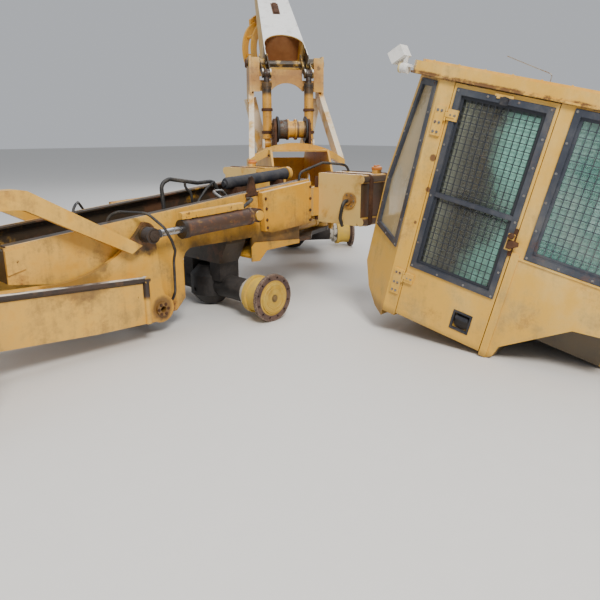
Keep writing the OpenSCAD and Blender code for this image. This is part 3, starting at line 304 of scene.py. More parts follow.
def agedPaint(name, look, zones=plain):
    # field-worn enamel: faded tone, baked dirt, chips to primer and steel, rust that bleeds
    # zones is a function that gives pairs of mask and colour laid over the paint
    f = Finish(name)
    broad = f.noise(0.9, 3, 0.5)
    cloud = f.noise(5.5, 7, 0.62)
    grit = f.noise(48, 6, 0.7)
    height = f.part("Z")
    tone = f.blend((broad * 0.5 + cloud * 0.5).step(0.40, 0.60), look["base"], look["faded"])
    streak = f.noise(1.0, 6, 0.6, f.moved(scale=(16, 16, 0.9)))
    grime = ((cloud * 0.6 + grit * 0.25 + streak * 0.35).step(0.56, 0.84)
             + (1 - height.step(0.0, 1.1)) * cloud.step(0.35, 0.7) * 0.5).least(1.0) * look["dirt"]
    dirty = f.blend(grime, tone, look["dirtTone"])
    blotch = f.noise(2.6, 9, 0.68) + grit * 0.16 + streak * 0.10
    patch = blotch.step(look["rustFrom"], look["rustFrom"] + 0.07)
    chip = (f.noise(17, 8, 0.72) + grit * 0.12).step(look["chipFrom"], look["chipFrom"] + 0.025)
    bare = patch.most(chip)
    rust = f.blend(grit.step(0.35, 0.65), look["rustDark"], look["rustLight"])
    halo = blotch.step(look["rustFrom"] - 0.10, look["rustFrom"] + 0.03)
    colour = f.blend(bare, f.blend(halo * 0.40, dirty, look["rustLight"]), rust)
    for mask, over in zones(f):
        colour = f.blend(mask, colour, over)
    rough = look["rough"] + grime * 0.25 + bare * 0.25 - cloud * 0.10
    dents = f.bump(f.noise(3.2, 2, 0.4), 0.010, 0.35)
    skin = f.bump(grit * 0.35 + bare * 0.8 + cloud * 0.5, 0.0025, 0.75, dents)
    return f.close(Base_Color=colour, Roughness=rough.least(0.95), Metallic=bare * 0.25, Normal=skin)


def rustedSteel(name, look, zones=plain):
    f = Finish(name)
    cloud = f.noise(4.5, 8, 0.65)
    grit = f.noise(60, 6, 0.7)
    tone = f.add("ShaderNodeValToRGB", {"stops": look["stops"]}, {"Fac": cloud * 0.75 + grit * 0.25})
    oil = f.noise(2.2, 5, 0.6).step(look["oilFrom"], look["oilFrom"] + 0.12)
    colour = f.blend(oil * 0.85, tone, look["oil"])
    for mask, over in zones(f):
        colour = f.blend(mask, colour, over)
    skin = f.bump(grit * 0.6 + cloud, 0.0035, 0.8)
    return f.close(Base_Color=colour, Roughness=0.88 - oil * 0.35, Metallic=0.25 + cloud * 0.2, Normal=skin)


def axleZones(f):
    # whitish seal sleeve next to each hub
    for space in hubs.values():
        out = (space.to_3x3() @ Vector((0, 0, 1))).normalized()
        off = along(f, space.translation, out)
        near = nearTo(f, space.translation, 0.62, 0.0)
        sleeve = off.step(-0.330, -0.322) * (1 - off.step(-0.100, -0.095)) * near
        yield (sleeve * f.noise(14, 6, 0.66).step(0.38, 0.50) * 0.85, (0.58, 0.55, 0.48))


def bareSteel(name, look, zones=plain):
    f = Finish(name)
    brushed = f.noise(3.0, 6, 0.6, f.moved(scale=look["grain"]))
    spots = (f.noise(22, 8, 0.7)).step(look["rustFrom"], look["rustFrom"] + 0.06)
    colour = f.blend(spots, f.blend(brushed, look["dark"], look["light"]), look["rust"])
    for mask, over in zones(f):
        colour = f.blend(mask, colour, over)
        spots = spots.most(mask)
    rough = look["rough"] + brushed * 0.15 + spots * 0.4
    skin = f.bump(brushed + spots, 0.0008, 0.5)
    return f.close(Base_Color=colour, Roughness=rough, Metallic=1 - spots * 0.8, Normal=skin)


def blackRubber(name, look):
    f = Finish(name)
    dust = (f.noise(9, 6, 0.65) * 0.7 + f.noise(70, 4, 0.6) * 0.3).step(0.42, 0.68)
    colour = f.blend(dust * look["dust"], look["base"], look["dustTone"])
    skin = f.bump(f.noise(120, 3, 0.6), 0.0006, 0.6)
    return f.close(Base_Color=colour, Roughness=look["rough"] + dust * 0.25, Normal=skin)


def dustFilm(f):
    return (f.noise(2.4, 4, 0.55) * 0.85 + f.noise(26, 5, 0.6) * 0.15).step(0.34, 0.66)


def dustyGlass(name, look):
    f = Finish(name)
    film = dustFilm(f)
    colour = f.blend(film, look["clear"], look["film"])
    run = along(f, cabSpace.translation, cabSpace.to_3x3() @ Vector((1, 0, 0)))
    corner = 1 - run.step(-0.93, -0.88)
    colour = f.blend(corner * 0.9, colour, look["corner"])
    skin = f.bump(f.noise(6, 2, 0.5), 0.0006, 0.4)
    return f.close(Base_Color=colour, Roughness=0.06 + film * 0.5,
                   Alpha=look["alpha"] + film * look["filmAlpha"] + corner * 0.25,
                   Normal=skin, Specular_IOR_Level=0.7)


yellowLook = {
    "base": (0.600, 0.300, 0.026), "faded": (0.690, 0.405, 0.074), "dirtTone": (0.095, 0.058, 0.032),
    "dirt": 0.66,
    "rustDark": (0.050, 0.022, 0.012), "rustLight": (0.230, 0.085, 0.028), "rustFrom": 0.765,
    "chipFrom": 0.740,
    "rough": 0.48,
}
# dark grime colours; they also stand for painted shade between the rails, under the side panel and in the
# hollow inboard of the blade arm
blackGrimeAndShade = (0.020, 0.015, 0.012)
brownGrimeAndShade = (0.070, 0.038, 0.022)
rustTone = (0.130, 0.055, 0.025)


def frameZones(f):
    # brown-black painted shade with oily grime low on the saddle under the side panel, near-black painted
    # shade with grime on the inner faces of the rails, rust inside, scuffed rail tops
    x, y, z = fromPin(f)
    inside = 1 - abs(y).step(0.380, 0.392)
    cloud = f.noise(4.0, 7, 0.65)
    # near-black between the rails: painted shade mixed with oily grime
    yield (inside * cloud.step(0.24, 0.42) * 0.97, blackGrimeAndShade)
    yield (inside * cloud.step(0.54, 0.64) * 0.5, rustTone)
    # brown-black low on the outer rail faces under the side panel: painted shade mixed with oily grime
    under = (1 - (z + (cloud - 0.5) * 0.30).step(0.58, 0.80)) * x.step(-2.12, -1.96)
    yield (under * (1 - inside) * 0.86, f.blend(cloud.step(0.42, 0.58), blackGrimeAndShade, brownGrimeAndShade))
    top = facing(f, (0, 0, 1)) * (1 - inside)
    yield (top * f.noise(2.5, 6, 0.6, f.moved(scale=(1, 12, 12))).step(0.42, 0.60) * 0.65,
           (0.78, 0.66, 0.42))


def armZones(f):
    # worn pipe edging, greasy eye, painted shade in the hollow inboard of the near arm
    x, y, z = fromPin(f)
    out = abs(y)
    rise = z - ((x + 2.545) * -0.0613 + 0.505)
    across = (out - 0.575) * (out - 0.575)
    onRail = 1 - (across + rise * rise).root().step(0.026, 0.032)
    back = x + 2.545
    onPost = 1 - (across + back * back).root().step(0.027, 0.033)
    onPost = onPost * (1 - z.step(0.50, 0.54)) * z.step(0.34, 0.38)
    cloud = f.noise(7, 7, 0.66)
    pipe = onRail.most(onPost) * (1 - x.step(-2.49, -2.46))
    yield (pipe * 0.97, f.blend(cloud.step(0.55, 0.7), (0.014, 0.012, 0.016), brownGrimeAndShade))
    scuff = f.noise(3, 6, 0.6, f.moved(scale=(1, 9, 9))).step(0.40, 0.54)
    yield (onRail * facing(f, (0, 0, 1)) * scuff * 0.9, (0.72, 0.66, 0.56))
    for side in (-1, 1):
        eye = frontSpace @ Vector((-2.450, side * 0.480, 0.820))
        yield (nearTo(f, eye, 0.165, 0.5) * 0.95, f.blend(cloud.step(0.42, 0.62), blackGrimeAndShade, rustTone))
        low = frontSpace @ Vector((-2.350, side * 0.470, 0.215))
        yield (nearTo(f, low, 0.110) * 0.75, brownGrimeAndShade)
    # brown patch in the hollow between the near arm plate and the frame side: painted shade
    inner = frontSpace @ Vector((-3.05, -0.40, 0.62))
    yield (nearTo(f, inner, 0.30, 0.6) * 0.55, brownGrimeAndShade)


def bladeBarrelZones(f):
    # grimy barrel under a box that kept its paint
    x, z = f.part("X") - pinPlace.x, f.part("Z")
    above = z - ((x + 1.400) * 0.04762 + 0.870)
    box = above.step(0.074, 0.080)
    cloud = f.noise(6, 7, 0.66, f.moved(scale=(0.6, 1, 1)))
    yield ((1 - box) * cloud.step(0.26, 0.44) * 0.96, (0.040, 0.024, 0.026))
    yield ((1 - box) * f.noise(11, 6, 0.7).step(0.50, 0.60) * 0.8, rustTone)
    yield ((1 - box) * (1 - x.step(-2.16, -2.13)), blackGrimeAndShade)
    yield (box * f.noise(14, 7, 0.7).step(0.56, 0.62) * 0.8, brownGrimeAndShade)


def archZones(f):
    # pale worn legs, brown stains on the head, grease round the pins
    z = f.part("Z")
    cloud = f.noise(3.4, 7, 0.64)
    yield ((1 - z.step(1.95, 2.15)) * cloud.step(0.36, 0.52) * 0.80, (0.74, 0.66, 0.52))
    yield (z.step(2.05, 2.30) * (1 - z.step(2.35, 2.60)) * cloud.step(0.34, 0.56) * 0.75,
           (0.30, 0.125, 0.034))
    yield (z.step(1.90, 2.20) * f.noise(7, 7, 0.68).step(0.56, 0.64) * 0.7, brownGrimeAndShade)
    for side in (-1, 1):
        foot = rearSpace @ Vector((1.330, side * 0.300, 1.500))
        yield (nearTo(f, foot, 0.20, 0.6) * 0.6, brownGrimeAndShade)


def boomZones(f):
    # white only where the top looks up, yellow sides, dark brown painted shade on the closing plate inside
    # the hollow root, grease at the pins
    up = boomSpace.to_3x3() @ Vector((0, 0, 1))
    way = boomSpace.to_3x3() @ Vector((1, 0, 0))
    start = boomSpace.translation
    run, rise = along(f, start, way), along(f, start, up)
    white = facing(f, up) * rise.step(0.085, 0.100)
    yield (1 - white,
           f.blend(f.noise(5, 7, 0.62).step(0.38, 0.62), (0.60, 0.33, 0.045), (0.66, 0.46, 0.16)))
    # dark brown on the closing plate that shuts the root's hollow: painted shade
    hollowShadePlate = run.step(0.428, 0.434) * (1 - run.step(0.444, 0.449)) * facing(f, -way)
    yield (hollowShadePlate,
           f.blend(f.noise(4, 6, 0.6).step(0.35, 0.65), (0.300, 0.140, 0.060), (0.210, 0.085, 0.036)))
    yield (white * f.noise(3, 7, 0.66).step(0.56, 0.66) * 0.35, (0.36, 0.34, 0.30))
    yield ((1 - run.step(0.10, 0.26)) * (1 - white) * f.noise(6, 6, 0.65).step(0.34, 0.50) * 0.95,
           blackGrimeAndShade)


def boomBarrelZones(f):
    z = f.part("Z")
    cloud = f.noise(7, 6, 0.65)
    yield (z.step(2.02, 2.09) * (0.4 + cloud).least(1.0), blackGrimeAndShade)
    yield (f.noise(1.6, 5, 0.6, f.moved(scale=(5, 5, 0.7))).step(0.54, 0.66) * 0.5, brownGrimeAndShade)
    for level in (1.860, 1.560):
        band = 1 - abs(z - level).step(0.016, 0.022)
        yield (band * 0.85, brownGrimeAndShade)


def bladeRodZones(f):
    # black grease on the eye
    x = f.part("X") - pinPlace.x
    yield ((1 - (x + (f.noise(20, 5, 0.6) - 0.5) * 0.02).step(-2.375, -2.362)) * 0.96,
           (0.026, 0.022, 0.024))


def drumZones(f):
    # dark bands by the flanges
    side = along(f, rearSpace @ Vector((1.800, 0, 1.600)), rearSpace.to_3x3() @ Vector((0, 1, 0)))
    wave = abs(side)
    grit = f.noise(9, 6, 0.68)
    yield (wave.step(0.150, 0.165) * (0.55 + grit * 0.6).least(1.0), blackGrimeAndShade)
    yield ((1 - abs(wave - 0.075).step(0.014, 0.022)) * 0.85, brownGrimeAndShade)
    yield (grit.step(0.54, 0.62) * 0.6, rustTone)


def tankZones(f):
    # front face painted pale cream as a painted highlight, outboard sides near-black and dark rust as
    # painted shade mixed with rust
    y = f.part("Y") - pinPlace.y
    cloud = f.noise(3.6, 7, 0.66)
    # pale cream on the front face: painted highlight
    front = facing(f, (-1, 0, 0))
    yield (front * cloud.step(0.30, 0.48) * 0.70, (0.760, 0.560, 0.210))
    # near-black and dark rust on the outboard sides: painted shade mixed with rust
    outer = facing(f, (0, -1, 0)).most(facing(f, (0, 1, 0))) * abs(y).step(0.90, 0.95)
    yield (outer * (0.65 + cloud * 0.6).least(1.0),
           f.blend(cloud.step(0.42, 0.64), (0.034, 0.022, 0.018), (0.125, 0.060, 0.030)))
    for side in (-1, 1):
        sender = frontSpace @ Vector((-0.530, side * 0.842, 0.947))
        yield (nearTo(f, sender, 0.090, 0.5) * 0.85,
               f.blend(cloud.step(0.42, 0.60), rustTone, (0.40, 0.19, 0.035)))
    yield (facing(f, (0, 0, 1)) * f.noise(8, 7, 0.68).step(0.50, 0.60) * 0.7, rustTone)


def cabZones(f):
    # rusty drip seam along the roof's fascia, dark lining, black handle recess, rust on the rear post
    origin = cabSpace.translation
    ahead, across, up = (cabSpace.to_3x3() @ Vector(v) for v in ((1, 0, 0), (0, 1, 0), (0, 0, 1)))
    run, reach, rise = along(f, origin, ahead), along(f, origin, across), along(f, origin, up)
    ragged = f.noise(22, 6, 0.7) * 0.030
    seam = (rise + ragged).step(1.762, 1.770) * (1 - (rise + ragged).step(1.790, 1.802))
    yield (seam * f.noise(7, 7, 0.68).step(0.40, 0.52) * 0.9, rustTone)
    yield ((1 - (rise + ragged * 2).step(0.02, 0.10)) * 0.6, brownGrimeAndShade)
    lining = reach.step(0.034, 0.042) * (1 - reach.step(1.208, 1.216))
    lining = lining * run.step(-0.88, -0.86) * (1 - run.step(0.66, 0.68))
    yield (lining * rise.step(0.02, 0.04) * (1 - rise.step(1.80, 1.81)) * 0.9, (0.075, 0.070, 0.062))
    yield (nearTo(f, cabSpace @ Vector((-0.250, 0.016, 0.175)), 0.085, 0.1), blackGrimeAndShade)
    for s, h, size in ((-0.794, 1.239, 0.030), (-0.770, 1.016, 0.022), (-0.800, 0.760, 0.018)):
        yield (nearTo(f, cabSpace @ Vector((s, 0, h)), size, 0.8) * 0.9, rustTone)


paintFrame = agedPaint("oldYellowPaint", yellowLook)
paintRails = agedPaint("railPaint", yellowLook, frameZones)
paintCab = agedPaint("cabPaint", {**yellowLook, "base": (0.700, 0.400, 0.055),
                                  "faded": (0.780, 0.510, 0.140), "dirt": 0.40, "rustFrom": 0.80,
                                  "chipFrom": 0.775}, cabZones)
paintArch = agedPaint("archPaint", {**yellowLook, "base": (0.600, 0.320, 0.050),
                                    "faded": (0.700, 0.480, 0.170), "dirt": 0.75, "chipFrom": 0.73},
                      archZones)
paintTank = agedPaint("tankPaint", {**yellowLook, "dirt": 0.55, "rustFrom": 0.76}, tankZones)
paintBlade = agedPaint("bladePaint", {**yellowLook, "dirt": 0.50, "rustFrom": 0.775, "chipFrom": 0.745},
                       armZones)
paintRam = agedPaint("bladeRamPaint", {**yellowLook, "dirt": 0.80, "rustFrom": 0.72, "chipFrom": 0.70},
                     bladeBarrelZones)
paintBoomRam = agedPaint("boomRamPaint", {**yellowLook, "base": (0.620, 0.310, 0.040), "chipFrom": 0.71},
                         boomBarrelZones)
paintDrum = agedPaint("drumPaint", {**yellowLook, "rustFrom": 0.74}, drumZones)
paintBoom = agedPaint("boomPaint", {**yellowLook, "base": (0.780, 0.770, 0.730),
                                    "faded": (0.850, 0.840, 0.810), "dirt": 0.30, "rustFrom": 0.80},
                      boomZones)
paintDark = agedPaint("darkFramePaint", {**yellowLook, "base": (0.030, 0.036, 0.052),
                                         "faded": (0.060, 0.070, 0.090), "dirtTone": (0.18, 0.15, 0.11),
                                         "dirt": 0.35, "rustFrom": 0.80, "chipFrom": 0.77})
paintLamp = agedPaint("lampWhite", {**yellowLook, "base": (0.780, 0.780, 0.760),
                                    "faded": (0.700, 0.700, 0.680), "dirt": 0.3, "rustFrom": 0.85,
                                    "chipFrom": 0.85})
rustSteel = rustedSteel("rustedCasting", {
    "stops": [(0.30, (0.030, 0.018, 0.012)), (0.52, (0.110, 0.050, 0.026)), (0.70, (0.210, 0.105, 0.050)),
              (0.85, (0.300, 0.180, 0.090))],
    "oil": (0.012, 0.010, 0.009), "oilFrom": 0.56})
oilySteel = rustedSteel("oilyCasting", {
    "stops": [(0.30, (0.016, 0.013, 0.012)), (0.55, (0.060, 0.040, 0.028)), (0.80, (0.150, 0.095, 0.055)),
              (0.90, (0.24, 0.15, 0.08))],
    "oil": (0.010, 0.009, 0.008), "oilFrom": 0.48})
axleSteel = rustedSteel("axleCasting", {
    "stops": [(0.30, (0.020, 0.019, 0.020)), (0.55, (0.058, 0.050, 0.046)), (0.78, (0.125, 0.105, 0.090)),
              (0.90, (0.22, 0.17, 0.13))],
    "oil": (0.010, 0.009, 0.009), "oilFrom": 0.46}, axleZones)
steelRod = bareSteel("chromedRod", {"grain": (2, 2, 60), "dark": (0.42, 0.42, 0.43),
                                    "light": (0.66, 0.66, 0.67), "rust": (0.16, 0.06, 0.02),
                                    "rustFrom": 0.66, "rough": 0.18})
steelPlate = bareSteel("scouredSteel", {"grain": (30, 3, 30), "dark": (0.22, 0.21, 0.20),
                                        "light": (0.45, 0.44, 0.42), "rust": (0.14, 0.06, 0.025),
                                        "rustFrom": 0.55, "rough": 0.40})
bladeRodSteel = bareSteel("bladeRod", {"grain": (2, 2, 40), "dark": (0.30, 0.30, 0.31),
                                       "light": (0.66, 0.66, 0.68), "rust": (0.045, 0.030, 0.022),
                                       "rustFrom": 0.60, "rough": 0.20}, bladeRodZones)
steelGreasy = bareSteel("greasyRod", {"grain": (2, 2, 40), "dark": (0.045, 0.040, 0.038),
                                      "light": (0.150, 0.140, 0.130), "rust": (0.060, 0.034, 0.022),
                                      "rustFrom": 0.46, "rough": 0.34})
rubber = blackRubber("hoseRubber", {"base": (0.012, 0.012, 0.013), "dustTone": (0.15, 0.13, 0.10),
                                    "dust": 0.55, "rough": 0.55})
seal = blackRubber("sealRubber", {"base": (0.016, 0.018, 0.026), "dustTone": (0.12, 0.11, 0.10),
                                  "dust": 0.4, "rough": 0.6})
glass = dustyGlass("greenGlass", {"clear": (0.22, 0.52, 0.45), "film": (0.34, 0.50, 0.44),
                                  "corner": (0.56, 0.42, 0.22), "alpha": 0.34, "filmAlpha": 0.30})
lampGlass = blackRubber("lampLens", {"base": (0.62, 0.64, 0.64), "dustTone": (0.42, 0.41, 0.38),
                                     "dust": 0.5, "rough": 0.10})
amberLens = blackRubber("amberLens", {"base": (0.62, 0.50, 0.22), "dustTone": (0.40, 0.33, 0.20),
                                      "dust": 0.5, "rough": 0.20})
floorStone = blackRubber("paleFloor", {"base": (0.62, 0.61, 0.59), "dustTone": (0.66, 0.65, 0.63),
                                       "dust": 0.3, "rough": 0.8})
print("finishes made:", len(bpy.data.materials))


def makeFloor():
    mesh = bpy.data.meshes.new("floor")
    span = 60
    mesh.from_pydata([(-span, -span, 0), (span, -span, 0), (span, span, 0), (-span, span, 0)], [],
                     [(0, 1, 2, 3)])
    mesh.materials.append(floorStone)
    newObject("floor", mesh)


makeFloor()


# CAD nodes and their finishes
def hubPaint(name, space):
    # brown weathered ring with a yellow cover in the middle
    f = Finish(name)
    centre = space.translation
    axis = (space.to_3x3() @ Vector((0, 0, 1))).normalized()
    sweep = f.vector("CROSS_PRODUCT", f.vector("SUBTRACT", f.here, centre, 0), axis, 0)
    radius = f.vector("LENGTH", sweep)
    cloud = f.noise(16, 7, 0.66)
    grit = f.noise(90, 5, 0.7)
    out = along(f, centre, axis)
    cover = (1 - (radius + (cloud - 0.5) * 0.006).step(0.1490, 0.1530)) * out.step(-0.010, -0.004)
    paint = f.blend(cloud.step(0.35, 0.7), (0.46, 0.275, 0.026), (0.50, 0.335, 0.060))
    middle = 1 - (radius + (cloud - 0.5) * 0.010).step(0.028, 0.040)
    paint = f.blend(middle * 0.85, paint, (0.10, 0.065, 0.035))
    ring = f.blend((cloud * 0.6 + grit * 0.4).step(0.35, 0.65), (0.052, 0.030, 0.028),
                   (0.135, 0.082, 0.062))
    edge = radius.step(0.192, 0.198) * grit.step(0.46, 0.60)
    ring = f.blend(edge * 0.6, ring, (0.36, 0.28, 0.20))
    behind = 1 - out.step(-0.060, -0.050)
    case = f.blend((cloud * 0.7 + grit * 0.3).step(0.42, 0.62), (0.60, 0.40, 0.045), (0.50, 0.33, 0.075))
    ring = f.blend(behind, ring, case)
    grease = (f.noise(7, 5, 0.6)).step(0.58, 0.72)
    colour = f.blend(cover * (1 - grease * 0.35), ring, paint)
    skin = f.bump(grit * 0.5 + cloud, 0.0020, 0.8)
    return f.close(Base_Color=colour, Roughness=0.80 - cover * 0.22 - grease * 0.15, Metallic=0.1,
                   Normal=skin)


def dress(name, material):
    node = nodes[name]
    node.data.materials.clear()
    node.data.materials.append(material)


finishOf = {
    paintFrame: ["belly_guard", "rear_frame", "steer_barrel_left", "steer_barrel_right", "grapple_hanger",
                 "grapple_head",
                 "tong_left", "tong_right"],
    paintRails: ["frame_plates", "frame_cross", "frame_hinge"],
    paintArch: ["arch"],
    paintBlade: ["moldboard", "blade_arm_left", "blade_arm_right"],
    paintRam: ["blade_barrels"],
    paintBoomRam: ["boom_barrels"],
    paintDrum: ["winch_drum"],
    paintTank: ["tank_left", "tank_right"],
    paintBoom: ["boom"],
    paintCab: ["cab_floor", "cab_side_right", "cab_side_left", "cab_rear", "cab_front", "cab_roof",
               "door_right", "door_left"],
    paintDark: ["cab_guards", "door_right_glass", "door_left_glass"],
    paintLamp: ["cab_lamps"],
    axleSteel: ["front_axle", "rear_axle"],
    rustSteel: ["winch_case"],
    oilySteel: ["gearbox"],
    steelPlate: ["cutting_edge"],
    bladeRodSteel: ["blade_rods"],
    steelGreasy: ["boom_rods"],
    steelRod: ["steer_rod_left", "steer_rod_right"],
    glass: ["cab_glass"],
}
for material, names in finishOf.items():
    for name in names:
        dress(name, material)
hubNode = {"front_hub_left": "hub_front_left", "front_hub_right": "hub_front_right",
           "rear_hub_left": "hub_rear_left", "rear_hub_right": "hub_rear_right"}
for body, space in hubs.items():
    dress(hubNode[body], hubPaint(body + "Paint", space))
print("nodes dressed")


# node trees for what repeats or follows a path
def newTree(name, inputs):
    tree = bpy.data.node_groups.new(name, "GeometryNodeTree")
    tree.interface.new_socket("Geometry", in_out="INPUT", socket_type="NodeSocketGeometry")
    tree.interface.new_socket("Geometry", in_out="OUTPUT", socket_type="NodeSocketGeometry")
    for label, kind in inputs.items():
        tree.interface.new_socket(label, in_out="INPUT", socket_type="NodeSocket" + kind)
    return tree, tree.nodes.new("NodeGroupInput").outputs


def put(tree, kind, setup=None, sockets=None):
    # a node whose sockets take values, sockets or the first output of nodes
    node = tree.nodes.new(kind)
    for key, value in (setup or {}).items():
        setattr(node, key, value)
    for key, value in (sockets or {}).items():
        if isinstance(value, bpy.types.Node):
            value = value.outputs[0]
        if isinstance(value, bpy.types.NodeSocket):
            tree.links.new(value, node.inputs[key])
        else:
            node.inputs[key].default_value = value
    return node


def endTree(tree, geometry, given):
    real = put(tree, "GeometryNodeRealizeInstances", None, {0: geometry})
    painted = put(tree, "GeometryNodeSetMaterial", None, {"Geometry": real, "Material": given["Material"]})
    put(tree, "NodeGroupOutput", None, {0: painted})
    return tree


def makeBoltTree():
    tree, given = newTree("boltHeads", {"Head radius": "Float", "Head height": "Float",
                                        "Washer radius": "Float", "Sides": "Int", "Material": "Material"})
    half = put(tree, "ShaderNodeMath", {"operation": "MULTIPLY"}, {0: given["Head height"], 1: 0.5})
    lift = put(tree, "ShaderNodeCombineXYZ", None, {"Z": half})
    head = put(tree, "GeometryNodeMeshCylinder", {"fill_type": "NGON"},
               {"Vertices": given["Sides"], "Radius": given["Head radius"], "Depth": given["Head height"]})
    raised = put(tree, "GeometryNodeTransform", None, {"Geometry": head, "Translation": lift})
    thin = put(tree, "ShaderNodeMath", {"operation": "MULTIPLY"}, {0: given["Head height"], 1: 0.45})
    washer = put(tree, "GeometryNodeMeshCylinder", {"fill_type": "NGON"},
                 {"Vertices": 14, "Radius": given["Washer radius"], "Depth": thin})
    both = put(tree, "GeometryNodeJoinGeometry")
    tree.links.new(raised.outputs[0], both.inputs[0])
    tree.links.new(washer.outputs[0], both.inputs[0])
    aim = put(tree, "GeometryNodeInputNamedAttribute", {"data_type": "FLOAT_VECTOR"}, {"Name": "aim"})
    toward = put(tree, "FunctionNodeAlignRotationToVector", {"axis": "Z"}, {"Vector": aim})
    anyTurn = put(tree, "FunctionNodeRandomValue", {"data_type": "FLOAT"},
                  {"Min": 0.0, "Max": 6.28, "Seed": 5})
    spin = put(tree, "FunctionNodeAxisAngleToRotation", None, {"Axis": (0, 0, 1)})
    tree.links.new([s for s in anyTurn.outputs if s.enabled][0], spin.inputs["Angle"])
    placed = put(tree, "FunctionNodeRotateRotation", {"rotation_space": "LOCAL"}, {0: toward, 1: spin})
    many = put(tree, "GeometryNodeInstanceOnPoints", None,
               {"Points": given["Geometry"], "Instance": both, "Rotation": placed})
    return endTree(tree, many, given)


def makePipeTree():
    tree, given = newTree("pipesOnPaths",
                          {"Radius": "Float", "Bend": "Float", "Sides": "Int", "Material": "Material"})
    path = put(tree, "GeometryNodeMeshToCurve", None, {"Mesh": given["Geometry"]})
    bent = put(tree, "GeometryNodeFilletCurve", {"mode": "POLY"},
               {"Curve": path, "Count": 5, "Radius": given["Bend"], "Limit Radius": True})
    outline = put(tree, "GeometryNodeCurvePrimitiveCircle", None,
                  {"Resolution": given["Sides"], "Radius": given["Radius"]})
    tube = put(tree, "GeometryNodeCurveToMesh", None,
               {"Curve": bent, "Profile Curve": outline, "Fill Caps": True})
    return endTree(tree, tube, given)


boltTree = makeBoltTree()
pipeTree = makePipeTree()
print("node trees built")


def settle(name, mesh, body, smooth=35):
    # a finished mesh becomes a piece that rides on its body
    piece = newObject(name, mesh)
    mesh.shade_smooth()
    edges = bmesh.new()
    edges.from_mesh(mesh)
    limit = math.radians(smooth)
    for edge in edges.edges:
        edge.smooth = edge.is_manifold and edge.calc_face_angle(0) < limit
    edges.to_mesh(mesh)
    edges.free()
    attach(piece, body)
    return piece


def grow(name, mesh, tree, sizes, body):
    source = newObject(name + "Source", mesh)
    modifier = source.modifiers.new("grow", "NODES")
    modifier.node_group = tree
    for item in tree.interface.items_tree:
        if item.in_out == "INPUT" and item.name in sizes:
            modifier[item.identifier] = sizes[item.name]
    bpy.context.view_layer.update()
    ready = source.evaluated_get(bpy.context.evaluated_depsgraph_get())
    made = bpy.data.meshes.new_from_object(ready)
    made.name = name
    bpy.data.objects.remove(source)
    if "aim" in made.attributes:
        made.attributes.remove(made.attributes["aim"])
    return settle(name, made, body)


def bolts(name, body, spots, size, material):
    # spots are pairs of place and facing, size the head's radius
    mesh = bpy.data.meshes.new(name)
    mesh.from_pydata([tuple(place) for place, facing in spots], [], [])
    aim = mesh.attributes.new("aim", "FLOAT_VECTOR", "POINT")
    for k, (place, facing) in enumerate(spots):
        aim.data[k].vector = facing
    return grow(name, mesh, boltTree, {"Head radius": size, "Head height": size * 0.9,
                                       "Washer radius": size * 1.5, "Sides": 6, "Material": material}, body)


def pathMesh(name, paths, space):
    mesh = bpy.data.meshes.new(name)
    points, edges = [], []
    for path in paths:
        first = len(points)
        points += [tuple(space @ Vector(p)) for p in path]
        edges += [(first + k, first + k + 1) for k in range(len(path) - 1)]
    mesh.from_pydata(points, edges, [])
    return mesh


def pipes(name, body, space, paths, radius, material, bend=0.06, sides=12):
    return grow(name, pathMesh(name, paths, space), pipeTree,
                {"Radius": radius, "Bend": bend, "Sides": sides, "Material": material}, body)


def inSpace(space, spots, facing):
    way = (space.to_3x3() @ Vector(facing)).normalized()
    return [(space @ Vector(p), way) for p in spots]


def join(bm, one, two, closed=True):
    # faces between two loops of as many points
    for k in range(len(one) if closed else len(one) - 1):
        n = (k + 1) % len(one)
        bm.faces.new((one[k], one[n], two[n], two[k]))


def box(x0, x1, y0, y1):
    return [(x0, y0), (x1, y0), (x1, y1), (x0, y1)]


def slab(bm, outline, low, high, place):
    # an outline in the XY plane made solid from low to high, put in place by a matrix
    bottom = [bm.verts.new(place @ Vector((x, y, low))) for x, y in outline]
    top = [bm.verts.new(place @ Vector((x, y, high))) for x, y in outline]
    bm.faces.new(bottom[::-1])
    bm.faces.new(top)
    join(bm, bottom, top)


def shrink(outline, by):
    # a convex outline moved inwards by a distance
    count = len(outline)
    area = sum(Vector(outline[k]).cross(Vector(outline[(k + 1) % count])) for k in range(count))
    sense = 1 if area > 0 else -1
    lines = []
    for k in range(count):
        a, b = Vector(outline[k]), Vector(outline[(k + 1) % count])
        along = (b - a).normalized()
        inward = Vector((-along.y, along.x)) * sense
        lines.append((a + inward * by, along))
    made = []
    for k in range(count):
        (p, d), (q, e) = lines[k - 1], lines[k]
        t = (q - p).cross(e) / d.cross(e)
        made.append(tuple(p + d * t))
    return made


def ring(bm, outline, width, low, high, place):
    # a rim of even width inside an outline
    inner = shrink(outline, width)
    loops = []
    for path, z in ((outline, low), (outline, high), (inner, high), (inner, low)):
        loops.append([bm.verts.new(place @ Vector((x, y, z))) for x, y in path])
    for a in range(4):
        join(bm, loops[a], loops[(a + 1) % 4])


def finishMesh(name, bm, material, body, smooth=35, bevel=0.0, segments=2):
    bmesh.ops.recalc_face_normals(bm, faces=bm.faces)
    if bevel:
        sharp = [e for e in bm.edges if e.is_manifold and e.calc_face_angle(0) > 0.5]
        bmesh.ops.bevel(bm, geom=sharp, offset=bevel, segments=segments, affect="EDGES", clamp_overlap=True)
    mesh = bpy.data.meshes.new(name)
    bm.to_mesh(mesh)
    bm.free()
    mesh.materials.append(material)
    return settle(name, mesh, body, smooth)


def solid(name, material, body, shapes, **finish):
    # a piece of several shapes, each a function and what it is given
    bm = bmesh.new()
    for shape, *given in shapes:
        shape(bm, *given)
    return finishMesh(name, bm, material, body, **finish)


def onCircle(radius, count):
    angles = [k * math.tau / count for k in range(count)]
    return [(radius * math.cos(a), radius * math.sin(a)) for a in angles]


